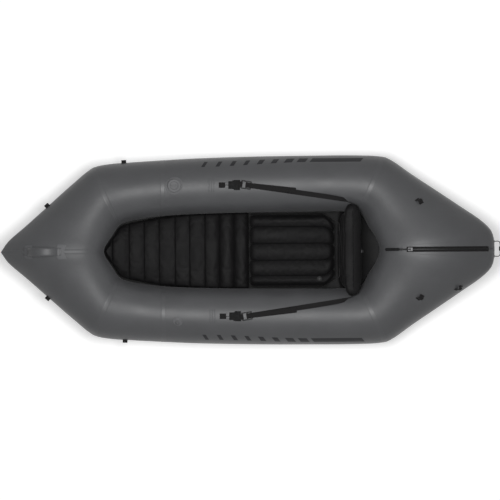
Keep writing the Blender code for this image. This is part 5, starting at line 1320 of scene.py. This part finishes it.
def add_main_valve(material):
    """The inflation valve on the starboard tube: flange and neck, and the ribbed cap with its grip."""
    at = locate(*VALVE_PLACE)
    add_valve_skirt("main_valve_skirt", "main_valve_base", *at, 1, VALVE_FLANGE, VALVE_NECK,
                    VALVE_NECK_HEIGHT, material)
    place = hull_frame(*at)
    cap = VALVE_CAP / 2
    inside = VALVE_NECK / 2 + RUNNING_GAP
    low = VALVE_NECK_HEIGHT * 0.40
    top = VALVE_NECK_HEIGHT + RUNNING_GAP
    tall = top + VALVE_CAP_HEIGHT * 0.55
    dish = top + VALVE_CAP_HEIGHT * 0.30
    corners = [(inside * 0.4, top), (inside, top), (inside, low), (cap, low), (cap, tall - 0.0016),
               (cap * 0.94, tall), (cap * 0.64, tall), (cap * 0.56, dish), (cap * 0.06, dish)]
    add_turned("main_valve_lid", "main_valve_cap", place, corners, 0.0009, 144, "main_cap",
               material, 36, 0.0011, (low + 0.0008, tall - 0.0016))
    point, along, around, normal = place
    rings = []
    for height, wide, long in ((dish - 0.0004, 1.0, 1.0), (dish + 0.0016, 1.0, 1.0),
                               (tall - 0.0004, 0.86, 0.97), (tall, 0.55, 0.90)):
        rings.append([point + along * (powered(cosine, 0.5) * cap * 0.50 * long)
                      + around * (powered(sine, 0.7) * VALVE_GRIP_HALF * wide) + normal * height
                      for cosine, sine in circle(40)])
    make_piece("main_valve_grip", loft_points(rings), material, 45.0, "main_cap",
               "main_valve_cap")


def add_oral_valve(rubber):
    """The top-off valve on the port tube: base, stem and the tip that turns to open it."""
    at = locate(*ORAL_PLACE)
    add_valve_skirt("oral_valve_skirt", "oral_valve_base", *at, -1, ORAL_BASE, ORAL_STEM,
                    ORAL_STEM_HEIGHT, rubber)
    tip = ORAL_TIP / 2
    low = ORAL_STEM_HEIGHT + RUNNING_GAP
    high = low + ORAL_TIP_HEIGHT
    corners = [(tip * 0.1, low), (tip * 0.92, low), (tip, low + 0.0016), (tip, low + ORAL_TIP_HEIGHT * 0.55),
               (tip * 0.62, low + ORAL_TIP_HEIGHT * 0.66), (tip * 0.56, high - 0.0008), (tip * 0.48, high),
               (tip * 0.30, high), (tip * 0.27, high - 0.003), (tip * 0.05, high - 0.003)]
    add_turned("oral_valve_mouthpiece", "oral_valve_tip", [side_of(v, -1) for v in hull_frame(*at)], corners,
               0.0006, 96, "oral_tip", rubber, 20, 0.0007,
               (low + 0.001, low + ORAL_TIP_HEIGHT * 0.52))


def add_small_valve(label, place, base_body, cap_body, rubber, plastic):
    """A cushion's own twist valve: a glued base with a short stem, and its ribbed cap."""
    stem = SMALL_STEM / 2
    base = SMALL_BASE / 2
    foot = SMALL_STEM_HEIGHT * 0.4
    add_turned(label + "_foot", label + "_base", place,
               [(base * 0.1, 0), (base, 0), (base, foot * 0.6), (base * 0.9, foot), (base * 0.6, foot),
                (base * 0.56, foot * 0.8), (stem + 0.0006, foot * 0.8), (stem, SMALL_STEM_HEIGHT),
                (stem * 0.2, SMALL_STEM_HEIGHT)], 0.0004, 64, base_body, rubber)
    low = SMALL_STEM_HEIGHT + RUNNING_GAP
    cap = SMALL_CAP / 2
    high = low + SMALL_CAP_HEIGHT
    add_turned(label + "_knob", label + "_cap", place,
               [(cap * 0.1, low), (cap * 0.9, low), (cap, low + 0.001), (cap, high - 0.0014),
                (cap * 0.8, high), (cap * 0.5, high), (cap * 0.46, high - 0.0008),
                (cap * 0.05, high - 0.0008)],
               0.0005, 96, cap_body, plastic, 18, 0.0006, (low + 0.001, high - 0.0014))


def add_cushion_valves(rubber, dark_rubber, plastic):
    """The seat's valve on its aft port corner, and the backrest's on its back below the top seam."""
    low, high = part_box("seat_valve_base")
    middle = Vector(((low[0] + high[0]) / 2, (low[1] + high[1]) / 2, low[2]))
    add_small_valve("seat_valve", (middle, Vector((1, 0, 0)), Vector((0, 1, 0)), Vector((0, 0, 1))),
                    "hull", "seat_cap", dark_rubber, plastic)
    lean_up = Vector((math.sin(BACKREST_LEAN), 0, math.cos(BACKREST_LEAN)))
    lean_back = Vector((math.cos(BACKREST_LEAN), 0, -math.sin(BACKREST_LEAN)))
    middle = backrest_place(BACKREST_HEIGHT * (1 - 0.5 / BACKREST_BAFFLES),
                            BACKREST_THICKNESS / 2 + DRAPE_GAP, across=BACKREST_VALVE_Y)
    add_small_valve("backrest_valve", (middle, Vector((0, 1, 0)), lean_up, lean_back),
                    "backrest_cushion", "backrest_cap", rubber, plastic)


# Stern zip

ZIP_BEFORE_CREST = 0.118
ZIP_AFTER_CREST = 0.318
ZIP_TAPE_THICKNESS = 0.0010
ZIP_CHAIN_WIDTH = 0.0064
ZIP_CHAIN_HEIGHT = 0.0026
ZIP_CHAIN_STEPS = 140
ZIP_STOP_LENGTH = 0.008
ZIP_STOP_WIDTH = 0.0152
TOOTH_PITCH = 0.0026
STERN_OUTER, STERN_INNER, STERN_CREST, STERN_TALL, _ = cross_section(STERN_END)
ZIP_RADIUS = crest_radius((STERN_OUTER - STERN_INNER).length * (1 - STERN_CREST), STERN_TALL / 2,
                          STERN_FULLNESS_SHARE)
ZIP_CENTRE = Vector(((STERN_INNER + (STERN_OUTER - STERN_INNER) * STERN_CREST).x, 0,
                     hull_point(STERN_END, 1).z - ZIP_RADIUS))
ZIP_CHAIN_LIFT = DRAPE_GAP + PATCH_THICKNESS + WEB_GAP + ZIP_TAPE_THICKNESS + WEB_GAP
GRIP_RUNS = (-0.152, -0.229)
GRIP_LIFT = 0.0087
GRIP_HALF_WIDTH = 0.0078
GRIP_HALF_THICKNESS = 0.0029


def on_zip(run, across, lift):
    """A point on the zip's arc at a run in metres aft of the crest, across it and above the tube."""
    reach = ZIP_RADIUS + lift
    angle = run / ZIP_RADIUS
    return ZIP_CENTRE + Vector((reach * math.sin(angle), across, reach * math.cos(angle)))


def add_tooth(points, faces, run, hand):
    """One moulded tooth, clamped on its own tape edge and reaching past the middle."""
    high = ZIP_CHAIN_LIFT + ZIP_CHAIN_HEIGHT
    half = TOOTH_PITCH * 0.36
    outer = hand * ZIP_CHAIN_WIDTH / 2 * 0.98
    inner = -hand * 0.0009
    first = len(points)
    for lift, spare in ((ZIP_CHAIN_LIFT + 0.0001, 0.0), (high - 0.0007, 0.0), (high, 0.28)):
        for across, along in ((outer, -half), (outer, half), (hand * 0.0012, half * 0.80),
                              (inner, half * 0.95), (inner, -half * 0.95), (hand * 0.0012, -half * 0.80)):
            points.append(on_zip(run + along * (1 - spare), across * (1 - spare * 0.5), lift))
    for a in (first, first + 6):
        for k in range(6):
            n = (k + 1) % 6
            faces.append([a + k, a + n, a + 6 + n, a + 6 + k])
    faces.append([first + k for k in range(6)][::-1])
    faces.append([first + 12 + k for k in range(6)])


def add_zip_teeth(material):
    """The closed chain: the core along both tape edges and the teeth of each side in turn."""
    start = -ZIP_BEFORE_CREST + ZIP_STOP_LENGTH + 0.0006
    end = ZIP_AFTER_CREST - ZIP_STOP_LENGTH - 0.0006
    half = ZIP_CHAIN_WIDTH / 2
    low = ZIP_CHAIN_LIFT
    outline = [(-half, low), (half, low), (half, low + 0.0006), (half * 0.6, low + 0.0009),
               (-half * 0.6, low + 0.0009), (-half, low + 0.0006)]
    points, faces = loft_points([[on_zip(run, *place) for place in outline]
                                 for run in evenly(start, end, ZIP_CHAIN_STEPS)])
    for k in range(int((end - start) / TOOTH_PITCH) * 2):
        add_tooth(points, faces, start + TOOTH_PITCH * (0.5 + k / 2), 1 if k % 2 else -1)
    make_piece("zip_teeth", (points, faces), material, 35.0, node="zip_chain")


def add_zip(tube, webbing, plastic, metal):
    """The zip on the stern's centreline: patch, tape, its teeth and two stops, slider and pull."""
    softened("zip_backing", "zip_patch", tube)
    softened("zip_band", "zip_tape", webbing)
    add_zip_teeth(plastic)
    wide = ZIP_STOP_WIDTH / 2
    low = ZIP_CHAIN_LIFT
    high = low + ZIP_CHAIN_HEIGHT
    right = [(wide, low), (wide, high - 0.0008), (wide - 0.0003, high - 0.0003), (wide - 0.0009, high)]
    outline = [(-wide, low)] + right + [(-across, lift) for across, lift in right[:0:-1]]
    for name, node, start in (("zip_stop_aft", "zip_chain", ZIP_AFTER_CREST - ZIP_STOP_LENGTH),
                              ("zip_stop_forward", "zip_front_stop", -ZIP_BEFORE_CREST)):
        rings = [[on_zip(start + ZIP_STOP_LENGTH * share, across * size, low + (lift - low) * size)
                  for across, lift in outline]
                 for share, size in ((0.0, 0.90), (0.10, 1.0), (0.5, 1.0), (0.90, 1.0), (1.0, 0.90))]
        make_piece(name, loft_points(rings), plastic, FITTING_EDGE_DEGREES, node=node)
    dress_node("zip_slider", metal)
    dress_node("zip_pull", plastic)


def dress_node(node, material):
    """Give a CAD node's own mesh a finer material."""
    for slot in bpy.data.objects[node].material_slots:
        slot.material = material


def add_pull_grip(material):
    """The grip moulded over the pull's front end, curved like the zip so that it clears it on the way aft."""
    rings = []
    for share in evenly(0, 1, 22):
        end = min(share, 1 - share) * 11
        size = math.sqrt(max(0.12, 1 - max(0.0, 1 - end) ** 2)) * (0.84 + 0.16 * share)
        rib = 0.0003 * math.cos(share * math.tau * 9) if 0.3 < share < 0.85 else 0.0
        rings.append([on_zip(blend_between(*GRIP_RUNS, share), powered(cosine, 0.55) * GRIP_HALF_WIDTH * size,
                             GRIP_LIFT + powered(sine, 0.7) * (GRIP_HALF_THICKNESS * size + rib))
                      for cosine, sine in circle(20)])
    make_piece("pull_grip", loft_points(rings), material, 60.0, "pull")


# Stern cord

CORD_DIAMETER = 0.0042
CORD_ANCHOR_Y = 0.037
CORD_REACH = 0.0284
CORD_DROOP = 0.0441
GROMMET_HEIGHT = 0.0022
# The loop's starboard half from its pad: shares of its reach aft, of its width and of its droop
CORD_SHARES = [(0.00, 1.000, 0.00), (0.19, 1.011, 0.02), (0.42, 1.019, 0.084), (0.63, 1.005, 0.211),
               (0.80, 0.951, 0.392), (0.91, 0.859, 0.596), (0.968, 0.708, 0.789), (0.993, 0.527, 0.932),
               (1.00, 0.319, 1.00), (1.00, 0.00, 1.00)]


def smooth_route(knots, steps):
    """A curve through the knots, as closely spaced points."""
    route = []
    for k in range(len(knots) - 1):
        before = knots[max(k - 1, 0)]
        after = knots[min(k + 2, len(knots) - 1)]
        for step in range(steps):
            t = step / steps
            route.append(0.5 * (2 * knots[k] + (knots[k + 1] - before) * t
                                + (2 * before - 5 * knots[k] + 4 * knots[k + 1] - after) * t * t
                                + (3 * knots[k] - 3 * knots[k + 1] + after - before) * t ** 3))
    return route + [knots[-1]]


def add_stern_cord(braid, plastic):
    """The stern's cord loop, hung between its two grommets, and the bead on it."""
    beside = hull_point(STERN_END - 1, 0)
    end = hull_point(STERN_END, 0)
    point = Vector((end.x, 0, end.z)).lerp(beside, CORD_ANCHOR_Y / beside.y)
    normal = Vector((beside.y, end.x - beside.x, 0)).normalized()
    start = point + normal * (GROMMET_HEIGHT + CORD_DIAMETER / 8 + WEB_GAP)
    half = [Vector((start.x + CORD_REACH * aft, start.y * across, start.z - CORD_DROOP * down))
            for aft, across, down in CORD_SHARES]
    route = smooth_route(half + [side_of(p, -1) for p in half[-2::-1]], 4)
    curve = bpy.data.curves.new("stern_cord_loop", "CURVE")
    curve.dimensions = "3D"
    curve.bevel_depth = CORD_DIAMETER / 2
    curve.bevel_resolution = 6
    curve.use_fill_caps = True
    spline = curve.splines.new("POLY")
    spline.points.add(len(route) - 1)
    for spline_point, place in zip(spline.points, route):
        spline_point.co = (*place, 1.0)
    spline.use_smooth = True
    cord = show_piece("stern_cord_loop", curve, braid, "hull", "stern_cord")
    bead = softened("cord_bead_turned", "cord_bead", plastic)
    sum((b - a).length for a, b in zip(route, route[1:]))
    for side_name, _ in SIDES:
        softened(f"cord_grommet_{side_name}_turned", f"cord_grommet_{side_name}", plastic)


# Stage

CAMERA_LENS = 500.0
CAMERA_SENSOR = 36.0
CAMERA_PLACE = (0.01125, 0.0025, 34.864)
CAMERA_ROLL = math.radians(-0.42)
CAMERA_FAR = 100.0
LAMP_SIZE = 1.4
LAMP_HEIGHT = 4.5
FLOOR_REACH = 30.0
FLOOR_CELLS = 12
WHITE = (1.0, 1.0, 1.0, 1.0)


def seen_directly(tree):
    """One where the camera, a reflection or a refraction sees the surface, and zero elsewhere."""
    path = tree.nodes.new("ShaderNodeLightPath").outputs
    total = path["Is Camera Ray"]
    for name in ("Is Glossy Ray", "Is Transmission Ray"):
        total = add_node(tree, "Math", "Value", {0: total, 1: path[name]}, operation="MAXIMUM")
    return total


def add_studio_floor(stage):
    """A pale backdrop: it takes the object's shadow and looks white to the camera elsewhere."""
    surface = Surface("studio_floor", 0.9, 0.1)
    surface.paint(surface.noise(30.0, 3.0, 0.5), stage.floor_colour, 0.99, 1.0)
    glow = surface.math("MULTIPLY", seen_directly(surface.tree), stage.floor_lift)
    surface.give({"Emission Color": WHITE, "Emission Strength": glow})
    mesh = bpy.data.meshes.new("studio_floor")
    line = evenly(-FLOOR_REACH, FLOOR_REACH, FLOOR_CELLS)
    faces = grid_faces(len(line), len(line), flip=True)
    mesh.from_pydata([(x, y, 0.0) for x in line for y in line], [], faces)
    mesh.materials.append(surface.material)
    linked("studio_floor", mesh)


def add_world(stage):
    """Even light from all round, and plain white behind everything."""
    world = bpy.data.worlds.new("studio_world")
    bpy.context.scene.world = world
    world.use_nodes = True
    tree = world.node_tree
    strength = add_node(tree, "MapRange", "Result", {"Value": seen_directly(tree),
                                                     "To Min": stage.world_light, "To Max": 1.0})
    set_inputs(tree, tree.nodes["Background"], {"Color": WHITE, "Strength": strength})


def add_lamp(stage):
    """One softbox overhead, at a level at which an upward surface shows its own colour."""
    lamp = bpy.data.lights.new("overhead_softbox", "AREA")
    lamp.shape = "SQUARE"
    lamp.size = LAMP_SIZE
    lamp.energy = stage.lamp_power
    holder = linked("overhead_softbox", lamp)
    holder.location = (0.0, 0.0, LAMP_HEIGHT)
    holder.visible_camera = False


def add_camera():
    """A long lens far above the middle, turned a little like the photograph."""
    lens = bpy.data.cameras.new("view_from_above")
    lens.lens = CAMERA_LENS
    lens.sensor_width = CAMERA_SENSOR
    lens.clip_end = CAMERA_FAR
    camera = linked("view_from_above", lens)
    camera.location = CAMERA_PLACE
    camera.rotation_euler.z = CAMERA_ROLL
    bpy.context.scene.camera = camera
    bpy.context.scene.view_settings.view_transform = "Standard"


# Settings that a user would change

def colour_setting(name, description, default):
    return FloatVectorProperty(name=name, description=description, default=default, size=3, min=0.0, max=1.0,
                               subtype="COLOR")


class PackraftColours(bpy.types.PropertyGroup):
    tube: colour_setting("Tubes", "Colour of the coated tube fabric", (0.062, 0.063, 0.066))
    trim: colour_setting("Stripes", "Colour of the welded stripe dashes", (0.022, 0.022, 0.024))
    cushion: colour_setting("Cushions", "Colour of the mat, seat and backrest", (0.0054, 0.0052, 0.0055))
    floor: colour_setting("Floor sheet", "Colour of the hull's floor sheet", (0.0064, 0.0064, 0.0067))
    webbing: colour_setting("Webbing", "Colour of the straps, loops and zip tape", (0.0080, 0.0075, 0.0078))
    plastic: colour_setting("Plastic", "Colour of the buckles, caps and zip chain", (0.0085, 0.0085, 0.0088))
    rubber: colour_setting("Valves", "Colour of the moulded valve bodies", (0.100, 0.101, 0.105))
    metal: colour_setting("Slider", "Colour of the zip slider's metal", (0.11, 0.11, 0.112))


class PackraftSizes(bpy.types.PropertyGroup):
    fabric: FloatProperty(name="Fabric", description="Thickness of the tube fabric", default=0.0006,
                          min=0.0002, max=0.002, unit="LENGTH", subtype="DISTANCE")
    thread: FloatProperty(name="Thread pitch", description="Distance between the tube fabric's threads",
                          default=0.0011, min=0.0003, max=0.004, unit="LENGTH", subtype="DISTANCE")
    pressure: FloatProperty(name="Cushion pressure", description="Air pressure in the cushions' cloth pass",
                            default=4.0, min=0.0, max=12.0)
    rounding: IntProperty(name="Smoothing", description="Subdivision steps on webbing and patches",
                          default=2, min=1, max=3)


class PackraftStage(bpy.types.PropertyGroup):
    floor_colour: colour_setting("Floor", "Colour of the studio floor", (0.65, 0.65, 0.65))
    floor_lift: FloatProperty(name="Floor lift", description="Brightness added where the floor is seen",
                              default=0.56, min=0.0, max=1.0)
    world_light: FloatProperty(name="Room light", description="Strength of the light from all round",
                               default=0.15, min=0.0, max=2.0)
    lamp_power: FloatProperty(name="Softbox", description="Power of the overhead softbox", default=160.0,
                              min=0.0, max=5000.0, unit="POWER")


FINISHES = {}


def finish_named(name, colours, thread):
    """The material of that name, made the first time it is asked for."""
    makers = {
        "tube": lambda: coated_fabric("tube_fabric", colours.tube, thread),
        "patch": lambda: coated_fabric("patch_fabric", colours.tube, thread, place="Object"),
        "pale_patch": lambda: coated_fabric("handle_patch_fabric", shade(colours.tube, 1.35)[:3], thread,
                                            place="Object"),
        "floor": lambda: coated_fabric("floor_fabric", colours.floor, thread, roughness=0.6, specular=0.14),
        "tape": lambda: coated_fabric("tape_film", colours.tube, thread, depth=0.00002, roughness=0.42,
                                      specular=0.36),
        "trim": lambda: coated_fabric("stripe_fabric", colours.trim, thread, roughness=0.60, specular=0.14),
        "cushion": lambda: cushion_fabric("cushion_fabric", colours.cushion),
        "webbing": lambda: webbing_weave("webbing_weave", colours.webbing),
        "braid": lambda: webbing_weave("cord_braid", colours.webbing, 0.0011),
        "plastic": lambda: moulded_plastic("black_plastic", colours.plastic),
        "keeper": lambda: moulded_plastic("keeper_plastic", colours.plastic, 0.62, specular=0.06),
        "rubber": lambda: soft_rubber("valve_rubber", colours.rubber),
        "dark_rubber": lambda: soft_rubber("dark_valve_rubber", colours.plastic, 0.65),
        "metal": lambda: cast_metal("slider_metal", colours.metal, 0.52),
    }
    if name not in FINISHES:
        FINISHES[name] = makers[name]()
    return FINISHES[name]


class PackraftPart:
    """What the build steps share: each runs its makers with the finishes that they name"""
    bl_options = {"REGISTER", "UNDO"}

    def build(self, context, *steps):
        colours = context.scene.packraft_colours
        thread = context.scene.packraft_sizes.thread
        for maker, *names in steps:
            maker(*[finish_named(name, colours, thread) for name in names])
        return {"FINISHED"}


class PACKRAFT_OT_tubes(PackraftPart, bpy.types.Operator):
    """Build the eight tube panels"""
    bl_idname = "packraft.tubes"
    bl_label = "Tube ring"

    def execute(self, context):
        return self.build(context, (add_tube_panels, "tube"))


class PACKRAFT_OT_tapes(PackraftPart, bpy.types.Operator):
    """Build the bands over the welds"""
    bl_idname = "packraft.tapes"
    bl_label = "Seam tapes"

    def execute(self, context):
        return self.build(context, (add_seam_tapes, "tape"), (add_centre_tapes, "tube"))


class PACKRAFT_OT_floor_sheet(PackraftPart, bpy.types.Operator):
    """Build the floor sheet under the tubes"""
    bl_idname = "packraft.floor_sheet"
    bl_label = "Floor sheet"

    def execute(self, context):
        return self.build(context, (add_floor_sheet, "floor"))


class PACKRAFT_OT_stripes(PackraftPart, bpy.types.Operator):
    """Build the dashes along the side tubes"""
    bl_idname = "packraft.stripes"
    bl_label = "Stripe dashes"

    def execute(self, context):
        return self.build(context, (add_stripes, "trim"))


class PACKRAFT_OT_mat(PackraftPart, bpy.types.Operator):
    """Build the floor mat"""
    bl_idname = "packraft.mat"
    bl_label = "Floor mat"

    def execute(self, context):
        return self.build(context, (add_mat, "cushion"))


class PACKRAFT_OT_seat(PackraftPart, bpy.types.Operator):
    """Build the seat cushion and its welded edge"""
    bl_idname = "packraft.seat"
    bl_label = "Seat"

    def execute(self, context):
        return self.build(context, (add_seat, "cushion"))


class PACKRAFT_OT_backrest(PackraftPart, bpy.types.Operator):
    """Build the backrest cushion and its welded edge"""
    bl_idname = "packraft.backrest"
    bl_label = "Backrest"

    def execute(self, context):
        return self.build(context, (add_backrest, "cushion"))


class PACKRAFT_OT_straps(PackraftPart, bpy.types.Operator):
    """Build the backrest's straps, their anchors and the buckles' finish"""
    bl_idname = "packraft.straps"
    bl_label = "Straps and anchors"

    def execute(self, context):
        return self.build(context, (add_straps, "webbing"), (add_anchors, "webbing", "patch", "keeper"),
                          (add_locks, "plastic"))


class PACKRAFT_OT_loops(PackraftPart, bpy.types.Operator):
    """Build the tie-down loops"""
    bl_idname = "packraft.loops"
    bl_label = "Tie-down loops"

    def execute(self, context):
        return self.build(context, (add_tie_loops, "webbing"))


class PACKRAFT_OT_handle(PackraftPart, bpy.types.Operator):
    """Build the bow handle and its patches"""
    bl_idname = "packraft.handle"
    bl_label = "Bow handle"

    def execute(self, context):
        return self.build(context, (add_handle, "patch", "pale_patch"))


class PACKRAFT_OT_valves(PackraftPart, bpy.types.Operator):
    """Build the four valves and their caps"""
    bl_idname = "packraft.valves"
    bl_label = "Valves"

    def execute(self, context):
        return self.build(context, (add_main_valve, "rubber"), (add_oral_valve, "rubber"),
                          (add_cushion_valves, "rubber", "dark_rubber", "plastic"))


class PACKRAFT_OT_zip(PackraftPart, bpy.types.Operator):
    """Build the stern zip, its teeth, stops, slider and pull"""
    bl_idname = "packraft.zip"
    bl_label = "Stern zip"

    def execute(self, context):
        return self.build(context, (add_zip, "patch", "webbing", "plastic", "metal"),
                          (add_pull_grip, "keeper"))


class PACKRAFT_OT_cord(PackraftPart, bpy.types.Operator):
    """Build the stern's cord loop, its grommets and bead"""
    bl_idname = "packraft.cord"
    bl_label = "Stern cord"

    def execute(self, context):
        return self.build(context, (add_stern_cord, "braid", "plastic"))


class PACKRAFT_OT_stage(bpy.types.Operator):
    """Build the camera, the floor, the room light and the lamp"""
    bl_idname = "packraft.stage"
    bl_label = "Stage"
    bl_options = {"REGISTER", "UNDO"}

    def execute(self, context):
        stage = context.scene.packraft_stage
        add_camera()
        add_studio_floor(stage)
        add_world(stage)
        add_lamp(stage)
        return {"FINISHED"}


OPERATORS = [PACKRAFT_OT_stage, PACKRAFT_OT_cord, PACKRAFT_OT_tubes, PACKRAFT_OT_tapes,
             PACKRAFT_OT_floor_sheet, PACKRAFT_OT_stripes, PACKRAFT_OT_mat, PACKRAFT_OT_seat,
             PACKRAFT_OT_backrest, PACKRAFT_OT_straps, PACKRAFT_OT_loops, PACKRAFT_OT_handle,
             PACKRAFT_OT_valves, PACKRAFT_OT_zip]


class PACKRAFT_PT_panel(bpy.types.Panel):
    """Settings and build steps of the packraft"""
    bl_idname = "PACKRAFT_PT_panel"
    bl_label = "Packraft"
    bl_space_type = "VIEW_3D"
    bl_region_type = "UI"
    bl_category = "Packraft"

    def draw(self, context):
        for group in (context.scene.packraft_sizes, context.scene.packraft_colours,
                      context.scene.packraft_stage):
            column = self.layout.column(align=True)
            for setting in type(group).__annotations__:
                column.prop(group, setting)
        for operator in OPERATORS:
            self.layout.operator(operator.bl_idname)


CLASSES = [PackraftColours, PackraftSizes, PackraftStage, *OPERATORS, PACKRAFT_PT_panel]


def register():
    for item in CLASSES:
        bpy.utils.register_class(item)
    bpy.types.Scene.packraft_colours = PointerProperty(type=PackraftColours)
    bpy.types.Scene.packraft_sizes = PointerProperty(type=PackraftSizes)
    bpy.types.Scene.packraft_stage = PointerProperty(type=PackraftStage)


def unregister():
    del bpy.types.Scene.packraft_stage
    del bpy.types.Scene.packraft_sizes
    del bpy.types.Scene.packraft_colours
    for item in reversed(CLASSES):
        bpy.utils.unregister_class(item)


def main():
    register()
    for operator in OPERATORS:
        group, name = operator.bl_idname.split(".")
        getattr(getattr(bpy.ops, group), name)()


if __name__ == "__main__":
    main()
